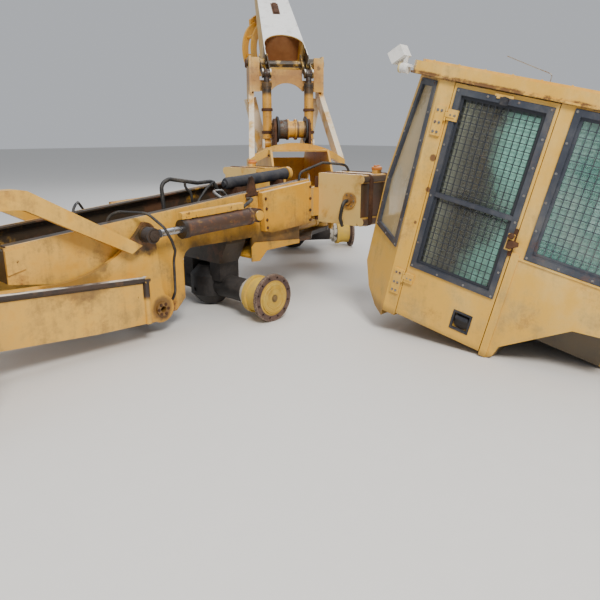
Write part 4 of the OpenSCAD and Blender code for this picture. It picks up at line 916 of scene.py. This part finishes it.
def lathe(bm, profile, place, count=32):
    # a profile of radius and height turned about local Z
    loops = []
    for r, z in profile:
        if r < 1e-6:
            loops.append([bm.verts.new(place @ Vector((0, 0, z)))])
        else:
            loops.append([bm.verts.new(place @ Vector((x, y, z))) for x, y in onCircle(r, count)])
    for one, two in zip(loops, loops[1:]):
        if len(one) == len(two) == count:
            join(bm, one, two)
            continue
        for k in range(count):
            n = (k + 1) % count
            if len(two) > 1:
                bm.faces.new((one[0], two[k], two[n]))
            elif len(one) > 1:
                bm.faces.new((one[k], one[n], two[0]))


# hubs: cast steps on the cover and a plug in its middle
hubTrim = {"steps": ((0.118, 0.006), (0.088, 0.005)), "plug": 0.022}
for body, space in hubs.items():
    bm = bmesh.new()
    for radius, wide in hubTrim["steps"]:
        lathe(bm, [(radius - wide, 0.0118), (radius - wide * 0.5, 0.0150), (radius + wide * 0.5, 0.0150),
                   (radius + wide, 0.0118)], space, 56)
    plug = hubTrim["plug"]
    lathe(bm, [(0, 0.010), (plug, 0.010), (plug, 0.018), (plug * 0.8, 0.022), (0, 0.022)], space, 24)
    finishMesh(hubNode[body] + "Steps", bm, bpy.data.materials[body + "Paint"], body)
print("hubs trimmed")


# cab windows: dark rims, and the rims' screws
cabBody = "front_chassis"
sideRight = cabSpace @ upright(-1)
sideLeft = shifted(cabSpace, 0, layout["cabWide"], 0) @ upright(1)
doorWindow = box(-0.715, -0.115, 0.465, 1.690)
sideWindow = [(0.066, 0.805), (0.667, 0.805), (0.637, 1.710), (0.066, 1.710)]
chamferSpace = shifted(cabSpace, -0.889, 0, 0) @ turn(144.06, "Z")
cornerWindow = [(0.060, 0.560), (0.419, 0.600), (0.414, 0.960), (0.230, 1.705), (0.060, 1.705)]
rim = {"out": 0.034, "width": 0.044, "proud": 0.012, "sunk": -0.018}


def grown(outline, by):
    return shrink(outline, -by)


def windowRim(name, body, outline, place, bars=()):
    bm = bmesh.new()
    ring(bm, grown(outline, rim["out"]), rim["width"], rim["sunk"], rim["proud"], place)
    for bar in bars:
        slab(bm, bar, rim["sunk"], rim["proud"] * 0.7, place)
    finishMesh(name, bm, paintDark, body, bevel=0.003)
    inset = grown(outline, rim["out"] - 0.017)
    spots = []
    for k, (x, y) in enumerate(inset):
        ex, ey = inset[(k + 1) % len(inset)]
        run = max(1, round(math.hypot(ex - x, ey - y) / 0.19))
        spots += [(x + (ex - x) * i / run, y + (ey - y) * i / run, rim["proud"]) for i in range(run)]
    bolts(name + "Screws", body, inSpace(place, spots, (0, 0, 1)), 0.0055, steelPlate)


def crossBar(outline, height, wide):
    xs = [p[0] for p in outline]
    return box(min(xs) - 0.01, max(xs) + 0.01, height - wide / 2, height + wide / 2)


for side, place, doorBody in (("Right", sideRight, "right_door"), ("Left", sideLeft, "left_door")):
    windowRim("doorRim" + side, doorBody, doorWindow, place, [crossBar(doorWindow, 1.002, 0.034)])
    windowRim("sideRim" + side, cabBody, sideWindow, place)
flip = Matrix.Scale(-1, 4, (0, 1, 0))
mirrorCab = shifted(cabSpace, 0, layout["cabWide"], 0) @ flip @ cabSpace.inverted()
chamferPlane = upright(1)
windowRim("cornerRimRight", cabBody, cornerWindow, chamferSpace @ chamferPlane)
windowRim("cornerRimLeft", cabBody, cornerWindow, mirrorCab @ chamferSpace @ chamferPlane)
frontOfCab = shifted(cabSpace, 0.772, 0, 0) @ crosswise(1)
windowRim("frontRim", cabBody, box(0.090, 1.160, 0.805, 1.675), frontOfCab)
for k, y in enumerate((0.120, 0.665)):
    windowRim("frontLowRim%d" % k, cabBody, box(y, y + 0.465, 0.520, 0.710), frontOfCab)
print("cab windows rimmed")


def glassInGuard(name, side):
    # the door's pane is glass, the bars and frame round it are dark paint
    f = Finish(name)
    across = cabSpace.to_3x3() @ Vector((0, 1, 0))
    middle = 0.030 if side > 0 else 1.220
    depth = along(f, cabSpace @ Vector((0, middle, 0)), across)
    pane = 1 - abs(depth).step(0.0040, 0.0050)
    film = dustFilm(f)
    grit = f.noise(40, 6, 0.7)
    bars = f.blend((f.noise(14, 7, 0.7) + grit * 0.2).step(0.74, 0.82), (0.022, 0.026, 0.036),
                   (0.10, 0.062, 0.040))
    run = along(f, cabSpace.translation, cabSpace.to_3x3() @ Vector((1, 0, 0)))
    rise = along(f, cabSpace.translation, cabSpace.to_3x3() @ Vector((0, 0, 1)))
    # bright teal over the front half of the door pane: painted reflection
    paintedReflection = (run + film * 0.06).step(-0.42, -0.24) * film.step(-0.4, 0.9)
    tone = f.blend(paintedReflection, (0.130, 0.135, 0.115), (0.28, 0.60, 0.50))
    tone = f.blend(1 - (run + film * 0.04).step(-0.70, -0.50), tone, (0.30, 0.33, 0.25))
    border = (1 - run.step(-0.674, -0.668)).most(run.step(-0.162, -0.156)).most(rise.step(1.640, 1.646))
    colour = f.blend(pane, bars, f.blend(border * 0.9, tone, (0.012, 0.014, 0.016)))
    skin = f.bump(grit * (1 - pane), 0.001, 0.5)
    return f.close(Base_Color=colour, Roughness=0.60 - pane * 0.5 + film * pane * 0.45,
                   Alpha=1 - pane * (0.50 - film * 0.25) * (1 - border), Normal=skin)


dress("door_right_glass", glassInGuard("doorPaneRight", 1))
dress("door_left_glass", glassInGuard("doorPaneLeft", -1))


# cab doors: latch, recessed handle, hinge bolts
def doorFittings(side, place, body):
    solid("doorHandle" + side, seal, body, [
        (ring, box(-0.325, -0.175, 0.100, 0.250), 0.016, -0.02, 0.006, place),
        (slab, box(-0.300, -0.200, 0.185, 0.215), -0.014, 0.004, place)], bevel=0.003)
    solid("doorLatch" + side, rustSteel, body, [
        (slab, box(-0.109, -0.058, 0.760, 0.950), 0.0, 0.010, place),
        (slab, [(-0.100, 0.812), (-0.070, 0.812), (-0.020, 0.845), (-0.025, 0.872), (-0.100, 0.872)], 0.030,
         0.040, place),
        (lathe, [(0, 0.030), (0.020, 0.030), (0.020, 0.050), (0.014, 0.056), (0, 0.056)],
         shifted(place, -0.084, 0.900, 0), 20)], bevel=0.002)
    solid("doorCatchPlate" + side, paintCab, body, [
        (slab, box(-0.480, -0.352, 1.702, 1.738), -0.001, 0.010, place),
        (slab, box(-0.462, -0.440, 1.708, 1.732), 0.010, 0.020, place)], bevel=0.002)
    solid("doorCatch" + side, seal, body, [
        (slab, [(-0.428, 1.672), (-0.376, 1.672), (-0.376, 1.722), (-0.412, 1.728), (-0.428, 1.716)],
         0.0095, 0.032, place)], bevel=0.004)
    spots = [(s, h, 0.018) for h in (0.335, 1.545) for s in (-0.740, -0.712)]
    bolts("doorHingeBolts" + side, body, inSpace(place, spots, (0, 0, 1)), 0.007, steelPlate)
    spots = [(s, h + dh, 0.014) for h in (0.290, 1.500) for s in (-0.842, -0.812)
             for dh in (-0.085, -0.020, 0.060)]
    bolts("postHingeBolts" + side, cabBody, inSpace(place, spots, (0, 0, 1)), 0.007, steelPlate)


doorFittings("Right", sideRight, "right_door")
doorFittings("Left", sideLeft, "left_door")


# cab roof: rain gutter, lamp glass and rim, aerial, rivets
def roofFittings():
    solid("roofGutter", paintCab, cabBody, [
        (slab, [(-1.148, 0.030), (-1.080, -0.024), (0.768, -0.024), (0.768, 1.274), (-1.080, 1.274),
                (-1.148, 1.220)], 1.757, 1.772, cabSpace)], bevel=0.003)
    face = shifted(cabSpace, -1.290, 0.075, 1.855) @ turn(-41, "Y") @ crosswise(-1)
    solid("boxLampGlass", lampGlass, cabBody, [
        (slab, box(-0.041, 0.041, -0.031, 0.031), 0.0495, 0.0545, face)], bevel=0.002)
    lampSpace = shifted(cabSpace, -1.252, 0.075, 1.775) @ turn(-90, "Y")
    solid("roundLampRim", amberLens, cabBody, [
        (lathe, [(0, -0.004), (0.030, -0.004), (0.037, 0.0), (0.037, 0.010), (0.029, 0.014), (0, 0.018)],
         lampSpace, 28)])
    pipes("cabAerial", cabBody, cabSpace,
          [[(-0.20, 0.10, 1.855), (-0.20, 0.10, 1.905), (-0.52, 0.11, 1.965)]], 0.003, steelPlate, 0.02, 8)
    spots = [(s, t, 1.860) for s in [-1.00 + 0.19 * k for k in range(9)] for t in (0.065, 1.185)]
    bolts("roofRivets", cabBody, inSpace(cabSpace, spots, (0, 0, 1)), 0.006, paintCab)


roofFittings()
print("cab doors and roof fitted")


# cab inside: seat, console, wheel, levers
def insideCab():
    seatAt = shifted(cabSpace, -0.620, 0.415, 0.330)

    def cushion(name, low, high, place, rows, crown):
        # a crowned pad with sewn channels across it
        bm = bmesh.new()
        nx, ny = 24, 24
        grid = []
        for level in (0, 1):
            sheetRows = []
            for i in range(nx + 1):
                u = i / nx
                row = []
                for j in range(ny + 1):
                    v = j / ny
                    edge = min(1.0, 4.5 * min(u, 1 - u, v, 1 - v) ** 0.6)
                    sewn = round(u * rows)
                    seam = 1 - 0.35 * math.exp(-((u * rows - sewn) / 0.07) ** 2) * (0 < sewn < rows)
                    if level:
                        z = high[2] - crown * (1 - edge) - crown * 0.5 * (1 - seam)
                    else:
                        z = low[2] + crown * 0.6 * (1 - edge)
                    pull = 0.012 * (1 - edge)
                    x = low[0] + (high[0] - low[0]) * u
                    y = low[1] + (high[1] - low[1]) * v
                    spot = Vector((x + pull * (0.5 - u), y + pull * (0.5 - v), z))
                    row.append(bm.verts.new(place @ spot))
                sheetRows.append(row)
            grid.append(sheetRows)
        for level, sense in ((0, -1), (1, 1)):
            for i in range(nx):
                for j in range(ny):
                    q = (grid[level][i][j], grid[level][i + 1][j], grid[level][i + 1][j + 1],
                         grid[level][i][j + 1])
                    bm.faces.new(q[::sense])
        border = [(i, 0) for i in range(nx)] + [(nx, j) for j in range(ny)]
        border += [(i, ny) for i in range(nx, 0, -1)] + [(0, j) for j in range(ny, 0, -1)]
        for k, (i, j) in enumerate(border):
            n, m = border[(k + 1) % len(border)]
            bm.faces.new((grid[0][i][j], grid[0][n][m], grid[1][n][m], grid[1][i][j]))
        finishMesh(name, bm, seatCloth, cabBody, smooth=50)

    cushion("seatCushion", (-0.030, -0.030, 0.0), (0.460, 0.450, 0.112), seatAt, 4, 0.035)
    back = shifted(seatAt, -0.045, 0, 0.110) @ turn(-98, "Y")
    cushion("seatBack", (0.0, -0.020, -0.115), (0.550, 0.440, 0.0), back, 4, 0.035)
    base = solid("seatBase", paintDark, cabBody, [
        (slab, box(-0.62, -0.29, 0.415, 0.835), 0.050, 0.325, cabSpace),
        (slab, box(-0.60, -0.31, 0.385, 0.415), 0.050, 0.120, cabSpace),
        (slab, box(-0.60, -0.31, 0.835, 0.865), 0.050, 0.120, cabSpace)], bevel=0.012, segments=3)
    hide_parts("cab_seat")
    console = [(0.170, 0.191), (0.300, 0.191), (0.230, 0.700), (0.040, 0.700), (0.040, 0.650),
               (0.110, 0.600)]
    across = shifted(cabSpace, 0, 0.805, 0) @ upright(-1)
    solid("dashPost", seal, cabBody, [(slab, console, 0.0, 0.360, across)], bevel=0.008, segments=3)
    wheelAt = shifted(cabSpace, 0.020, 0.625, 0.715) @ turn(-25, "Y")
    bm = bmesh.new()
    tube, rad, many = 0.014, 0.185, 56
    loops = []
    for x, y in onCircle(1, many):
        loops.append([bm.verts.new(wheelAt @ Vector(((rad + out) * x, (rad + out) * y, up)))
                      for out, up in onCircle(tube, 12)])
    for k in range(many):
        join(bm, loops[k], loops[(k + 1) % many])
    for a in (90, 210, 330):
        arm = wheelAt @ turn(a, "Z")
        slab(bm, [(0.02, -0.014), (0.180, -0.010), (0.180, 0.010), (0.02, 0.014)], -0.006, 0.004, arm)
    lathe(bm, [(0, -0.055), (0.026, -0.055), (0.030, -0.010), (0.040, 0.004), (0.034, 0.016), (0, 0.020)],
          wheelAt, 28)
    finishMesh("steeringWheel", bm, seal, cabBody)
    levers = [[(0.02 + 0.03 * k, 0.47, 0.66), (-0.02 + 0.03 * k, 0.45, 0.80)] for k in range(3)]
    levers += [[(-0.50, 0.33, 0.10), (-0.50, 0.33, 0.52), (-0.42, 0.33, 0.70)],
               [(-0.42, 0.33, 0.10), (-0.42, 0.33, 0.50), (-0.33, 0.33, 0.66)]]
    pipes("controlLevers", cabBody, cabSpace, levers, 0.006, seal, 0.05, 10)


seatCloth = blackRubber("seatVinyl", {"base": (0.030, 0.028, 0.026), "dustTone": (0.16, 0.13, 0.10),
                                      "dust": 0.5, "rough": 0.55})
insideCab()
print("cab inside fitted")


# front frame: panel edges, bolts, hydraulic lines between the rails
def frameFittings():
    bm = bmesh.new()
    for side in (-1, 1):
        place = shifted(frontSpace, 0, side * 0.462, 0) @ upright(side)
        slab(bm, [(-1.262, 1.040), (-1.232, 1.045), (-1.195, 0.700), (-1.225, 0.696)], -0.055, 0.006, place)
        slab(bm, [(-0.650, 1.100), (-0.622, 1.104), (-0.622, 0.722), (-0.650, 0.720)], -0.055, 0.006, place)
    finishMesh("panelEdges", bm, paintFrame, cabBody, bevel=0.004)
    spots, pivots = [], []
    for side in (-1, 1):
        way = Vector((0, side, 0))
        for x, z in ((-1.22, 0.99), (-1.21, 0.90), (-1.205, 0.80), (-1.20, 0.73), (-0.636, 1.06),
                     (-0.636, 0.95), (-0.636, 0.84), (-0.636, 0.745)):
            spots.append((frontSpace @ Vector((x, side * 0.468, z)), way))
        pivots += [(frontSpace @ Vector((-2.350 + x, side * 0.485, 0.215 + z)), way) for x,
                   z in onCircle(0.043, 6)]
    bolts("frameBolts", cabBody, spots, 0.010, rustSteel)
    bolts("pivotBolts", "blade", pivots, 0.009, rustSteel)


frameFittings()


def railLug():
    # lifting lug on the near rail
    place = shifted(frontSpace, 0, -0.392, 0) @ upright(-1)
    solid("railLug", rustSteel, cabBody, [
        (slab, [(-1.385, 1.005), (-1.255, 1.015), (-1.295, 1.165), (-1.315, 1.190), (-1.345, 1.180)],
         -0.012, 0.012, place),
        (slab, [(-1.400, 1.010), (-1.240, 1.022), (-1.240, 1.052), (-1.400, 1.040)], -0.018, 0.018, place)],
        bevel=0.004)


railLug()


# lines that stand up out of the frame and end in the valve block: path, radius, finish
looseLines = [
    ([(-1.500, -0.17, 0.84), (-1.900, -0.17, 0.80), (-2.052, -0.13, 0.84), (-2.052, -0.10, 1.148),
      (-1.972, -0.10, 1.184),
      (-1.683, -0.10, 1.135), (-1.502, -0.10, 1.142), (-1.440, -0.10, 0.980), (-1.440, -0.10, 0.860)],
      0.017, rubber),
    ([(-1.815, -0.10, 1.157), (-1.815, -0.10, 1.100), (-1.756, -0.10, 1.062), (-1.745, -0.10, 0.950),
      (-1.600, -0.10, 0.860), (-1.500, -0.10, 0.850)], 0.011, rubber),
    ([(-1.500, -0.16, 0.820), (-1.700, -0.16, 0.840), (-1.746, -0.16, 0.967), (-1.615, -0.14, 1.088),
      (-1.510, -0.11, 1.138)], 0.011, rubber),
    ([(-1.640, -0.372, 1.020), (-1.640, -0.24, 1.070), (-1.500, -0.20, 1.065), (-1.425, -0.19, 1.000),
      (-1.425, -0.17, 0.860)], 0.013, steelPlate),
    ([(-0.700, -0.370, 1.060), (-0.670, -0.36, 1.190), (-0.410, -0.42, 1.275), (-0.165, -0.52, 1.250),
      (-0.150, -0.54, 1.180)], 0.012, rubber),
]
valveBlock = {"x": (-1.600, -1.400), "y": (-0.200, 0.120), "z": (0.750, 0.890), "spool": 0.024}


def valveOnFrame():
    # oily valve block that the lines end in, with its spool caps and screws
    (x0, x1), (y0, y1), (z0, z1) = valveBlock["x"], valveBlock["y"], valveBlock["z"]
    solid("valveBlock", oilySteel, cabBody, [
        (slab, box(x0, x1, y0, y1), z0, z1 - 0.02, frontSpace),
        (slab, box(x0 + 0.02, x1 - 0.02, y0 + 0.015, y1 - 0.015), z1 - 0.022, z1, frontSpace)], bevel=0.004)
    r = valveBlock["spool"]
    bm = bmesh.new()
    for k in range(4):
        y = y0 + 0.05 + 0.073 * k
        cap = shifted(frontSpace, x0 + 0.004, y, z0 + 0.075) @ turn(-90, "Y")
        lathe(bm, [(0, 0), (r, 0), (r, 0.030), (r * 0.8, 0.036), (r * 0.45, 0.036), (r * 0.45, 0.052),
                   (0, 0.052)], cap, 20)
    finishMesh("valveCaps", bm, steelPlate, cabBody)
    spots = [(x, y0 + 0.035 + 0.083 * k, z1) for x in (x0 + 0.04, x1 - 0.04) for k in range(4)]
    bolts("valveScrews", cabBody, inSpace(frontSpace, spots, (0, 0, 1)), 0.009, steelPlate)


def hydraulicLines():
    shuffle = random.Random(11)
    runs = []
    for k in range(9):
        y0 = -0.26 + 0.062 * k
        lift = 0.930 + 0.02 * shuffle.random()
        path = [(-0.96, y0 * 0.5, 0.946), (-1.10, y0 * 0.7, lift + 0.03)]
        for j in range(1, 6):
            x = -1.10 - 0.36 * j
            path.append((x, y0 + shuffle.uniform(-0.05, 0.05),
                         lift - 0.055 * j + shuffle.uniform(-0.015, 0.03)))
        path.append((-3.12, y0 * 0.9, 0.655))
        path.append((-3.447, y0 * 0.9, 0.690))
        runs.append(path)
    pipes("frameLinesDark", cabBody, frontSpace, runs[:6], 0.016, rubber, 0.12, 10)
    pipes("frameLinesThin", cabBody, frontSpace, runs[6:], 0.011, rubber, 0.12, 10)
    steel = [[(-3.447, y, 0.725), (-2.30, y, 0.745), (-1.80, y, 0.800), (-1.560, y, 0.800)]
             for y in (0.02, 0.06, 0.10)]
    pipes("steelLines", cabBody, frontSpace, steel, 0.010, steelPlate, 0.05, 10)
    # to each blade cylinder a stub into its oil tube, and a hose down to the arm's pivot
    for name, side in sides:
        y = side * 0.530
        feed = [(-1.395, side * 0.42, 1.00), (-1.395, y * 0.94, 1.005), (-1.540, y, 0.950)]
        pipes("bladeLineDark" + name, cabBody, frontSpace, [feed], 0.015, rubber, 0.05, 12)
        drop = [[(-2.660, side * 0.262, 0.700), (-2.650, side * 0.275, 0.955),
                 (-2.590, side * 0.340, 0.990), (-2.470, side * 0.540, 0.985),
                 (-2.380, side * 0.606, 0.880), (-2.320, side * 0.610, 0.770),
                 (-2.262, side * 0.560, 0.680), (-2.236, side * 0.494, 0.590),
                 (-2.238, side * 0.494, 0.340), (-2.232, side * 0.440, 0.262),
                 (-2.230, side * 0.400, 0.250)]]
        pipes("bladeDropLine" + name, cabBody, frontSpace, drop, 0.011, rubber, 0.08, 12)
    valveOnFrame()
    for k, (path, radius, finish) in enumerate(looseLines):
        pipes("looseLine%d" % k, cabBody, frontSpace, [path], radius, finish, 0.07, 12)


hydraulicLines()
print("front frame fitted")


# blade: edge bolts, caps on the rods' pins
def bladeFittings():
    spots = [(-3.9095, -1.12 + k * 0.16, 0.205) for k in range(15)]
    bolts("edgeBolts", "blade", inSpace(frontSpace, spots, (-0.93, 0, -0.36)), 0.013, steelPlate)
    for name, side in sides:
        cap = shifted(frontSpace, -2.450, side * 0.560, 0.820) @ turn(-side * 90, "X")
        solid("rodCap" + name, oilySteel, "blade_rod", [
            (lathe, [(0, 0.0), (0.054, 0.0), (0.054, 0.010), (0.047, 0.015), (0.040, 0.015), (0.040, 0.027),
                     (0.034, 0.031), (0.014, 0.031), (0.010, 0.035), (0, 0.035)], cap, 36)])


bladeFittings()


# black cylinder left lying along the frame, with its ring and chocks
looseJack = {"front": (-1.300, 0.0, 1.100), "rear": (-0.470, 0.0, 1.160), "radius": 0.055}


def jackOnFrame():
    a = Vector(looseJack["front"])
    b = Vector(looseJack["rear"])
    way = (b - a)
    place = frontSpace @ Matrix.Translation(a) @ aimed(way)
    r, n = looseJack["radius"], way.length
    solid("looseJack", seal, cabBody, [
        (lathe, [(0, -0.02), (r * 0.45, -0.02), (r * 0.5, 0.0), (r * 0.85, 0.004), (r, 0.02), (r, 0.10),
                 (r * 0.96, 0.11), (r * 0.96, n - 0.09), (r * 1.02, n - 0.085), (r * 1.02, n - 0.04),
                 (r * 0.7, n - 0.03), (0, n - 0.03)], place, 36)])
    solid("looseJackRing", paintFrame, cabBody, [
        (lathe, [(r * 0.70, n - 0.032), (r * 1.12, n - 0.032), (r * 1.16, n - 0.024), (r * 1.16, n + 0.004),
                 (r * 1.10, n + 0.012), (r * 0.66, n + 0.012), (r * 0.66, n - 0.010), (0, n - 0.012)],
         place, 36)])
    bm = bmesh.new()
    for x in (a.x + 0.12, b.x - 0.16):
        t = (x - a.x) / (b.x - a.x)
        z = a.z + (b.z - a.z) * t
        block = shifted(frontSpace, x, 0, 0)
        slab(bm, box(-0.03, 0.03, -0.075, 0.075), 0.970, z - r + 0.012, block)
    finishMesh("jackChocks", bm, rustSteel, cabBody, bevel=0.004)


jackOnFrame()
print("blade and frame top fitted")


# side tanks: straps, caps, sender bolts, hose elbow, angle
tankTrim = {"strapX": (-0.395, -0.135), "strapWide": 0.05, "cap": 0.048}


def tankFittings(name, side):
    bm = bmesh.new()
    top, low = 1.185, 0.715
    inner, outer = 0.452, 0.970
    for x in tankTrim["strapX"]:
        w = tankTrim["strapWide"] / 2
        place = shifted(frontSpace, x, 0, 0) @ crosswise(1, side)
        outline = [(inner, top + 0.006), (outer - 0.002, top + 0.006), (outer + 0.028, top - 0.010),
                   (outer + 0.046, top - 0.042), (outer + 0.046, low + 0.036), (outer + 0.030, low + 0.006),
                   (outer - 0.002, low - 0.006), (inner, low - 0.006)]
        inside = [(inner, top - 0.010), (outer - 0.006, top - 0.010), (outer + 0.018, top - 0.022),
                  (outer + 0.030, top - 0.050), (outer + 0.030, low + 0.046), (outer + 0.020, low + 0.020),
                  (outer - 0.006, low + 0.010), (inner, low + 0.010)]
        loops = []
        for path, z in ((outline, -w), (outline, w), (inside, w), (inside, -w)):
            loops.append([bm.verts.new(place @ Vector((px, py, z))) for px, py in path])
        for a in range(4):
            join(bm, loops[a], loops[(a + 1) % 4], False)
        for end in (0, -1):
            bm.faces.new([loop[end] for loop in loops])
    finishMesh("tankStraps" + name, bm, rustSteel, cabBody, bevel=0.002)
    cap = shifted(frontSpace, -0.160, side * 0.890, 1.2145)
    r = tankTrim["cap"]
    solid("tankCap" + name, paintCap, cabBody, [
        (lathe, [(0, 0), (r, 0), (r * 1.06, 0.006), (r * 1.06, 0.022), (r * 0.94, 0.030), (r * 0.4, 0.034),
                 (0, 0.034)], cap, 36),
        (slab, box(-r * 0.9, r * 0.9, -0.009, 0.009), 0.028, 0.044, cap)], bevel=0.002)
    centre = Vector((-0.514, side * 0.842, 0.947))
    spots = [(frontSpace @ (centre + Vector((0, y, z))), Vector((-1, 0, 0))) for y, z in onCircle(0.056, 6)]
    bolts("senderBolts" + name, cabBody, spots, 0.006, steelPlate)
    elbow = [(-0.530, side * 0.842, 0.947), (-0.590, side * 0.842, 0.945), (-0.605, side * 0.830, 0.860),
             (-0.560, side * 0.780, 0.780), (-0.480, side * 0.740, 0.700)]
    pipes("tankHose" + name, cabBody, frontSpace, [elbow], 0.017, rubber, 0.05, 12)
    # rusty angle between the side panel and the tank
    solid("tankAngle" + name, rustSteel, cabBody, [
        (slab, [(-0.506, side * 0.404), (-0.462, side * 0.404), (-0.462, side * 0.412),
                (-0.498, side * 0.412), (-0.498, side * 0.447), (-0.506, side * 0.447)], 0.730, 1.150,
         frontSpace)], bevel=0.002)


paintCap = agedPaint("capOrange", {**yellowLook, "base": (0.560, 0.180, 0.030),
                                   "faded": (0.620, 0.260, 0.070), "rustFrom": 0.8})
tankFittings("Left", -1)
tankFittings("Right", 1)
print("tanks fitted")


# rear frame: bolts, rope and rims on the winch drum, caps on the boom's pivot
ropeLook = {"turns": 11, "radius": 0.0085, "lay": 0.1185, "start": -0.168, "pitch": 0.0088, "corners": 14}


def rearFittings():
    spots = []
    for side in (-1, 1):
        way = rearSpace.to_3x3() @ Vector((0, side, 0))
        for x, z in ((1.20, 1.28), (1.30, 1.28), (1.55, 1.28), (2.60, 1.28), (2.52, 1.28), (1.05, 0.60),
                     (1.05, 0.50), (2.45, 0.50)):
            spots.append((rearSpace @ Vector((x, side * 0.376, z)), way))
        spots += [(rearSpace @ Vector((1.800 + x, side * 0.246, 1.600 + z)), way) for x,
                  z in onCircle(0.105, 8)]
    bolts("rearBolts", "rear_chassis", spots, 0.012, rustSteel)
    drum = shifted(rearSpace, 1.800, 0, 1.600) @ turn(90, "X")
    path = []
    for k in range(ropeLook["turns"] * ropeLook["corners"] + 1):
        turned = k / ropeLook["corners"]
        path.append((ropeLook["lay"] * math.cos(turned * math.tau),
                     ropeLook["lay"] * math.sin(turned * math.tau),
                     ropeLook["start"] + ropeLook["pitch"] * turned))
    pipes("winchRope", "drum", drum, [path], ropeLook["radius"], ropeSteel, 0.0, 8)
    bm = bmesh.new()
    for z in (-0.200, 0.180):
        lathe(bm, [(0.166, z - 0.002), (0.170, z + 0.002), (0.170, z + 0.018), (0.166, z + 0.022)], drum,
              48)
    finishMesh("drumRims", bm, seal, "drum")
    for name, side in sides:
        cap = shifted(rearSpace, 2.350, side * 0.532, 2.480) @ turn(-side * 90, "X")
        solid("boomPinCap" + name, rustSteel, "boom", [
            (lathe,
             [(0.0, 0.0), (0.062, 0.0), (0.062, 0.012), (0.052, 0.020), (0.024, 0.022), (0.0, 0.026)], cap,
             32)])


ropeSteel = bareSteel("ropeSteel", {"grain": (40, 40, 40), "dark": (0.10, 0.09, 0.08),
                                    "light": (0.26, 0.24, 0.22), "rust": (0.12, 0.055, 0.025),
                                    "rustFrom": 0.50, "rough": 0.50})
rearFittings()
print("rear frame fitted")


# boom: rusty cleats on top, clamps on its cylinders
def boomFittings():
    bm = bmesh.new()
    for x, long in ((1.22, 0.16), (1.62, 0.10)):
        z = 0.200 - x * 0.0377
        place = shifted(boomSpace, x, 0, z) @ turn(2.16, "Y")
        slab(bm, box(-long, long, -0.030, 0.030), -0.010, 0.030, place)
        slab(bm, box(-long - 0.02, long + 0.02, -0.060, 0.060), -0.010, 0.008, place)
    finishMesh("boomCleats", bm, rustSteel, "boom", bevel=0.004)
    foot = Vector((2.050, 0, 1.415))
    head = Vector((2.080, 0, 2.330))
    way = (head - foot).normalized()
    for name, side in sides:
        bm = bmesh.new()
        for reach in (0.445, 0.150):
            middle = foot + way * reach + Vector((0, side * 0.290, 0))
            at = rearSpace @ Matrix.Translation(middle) @ aimed(way)
            lathe(bm, box(0.069, 0.078, -0.018, 0.018), at, 40)
        finishMesh("ramClamps" + name, bm, rustSteel, "boom_barrel", bevel=0.002)


boomFittings()
print("boom fitted")
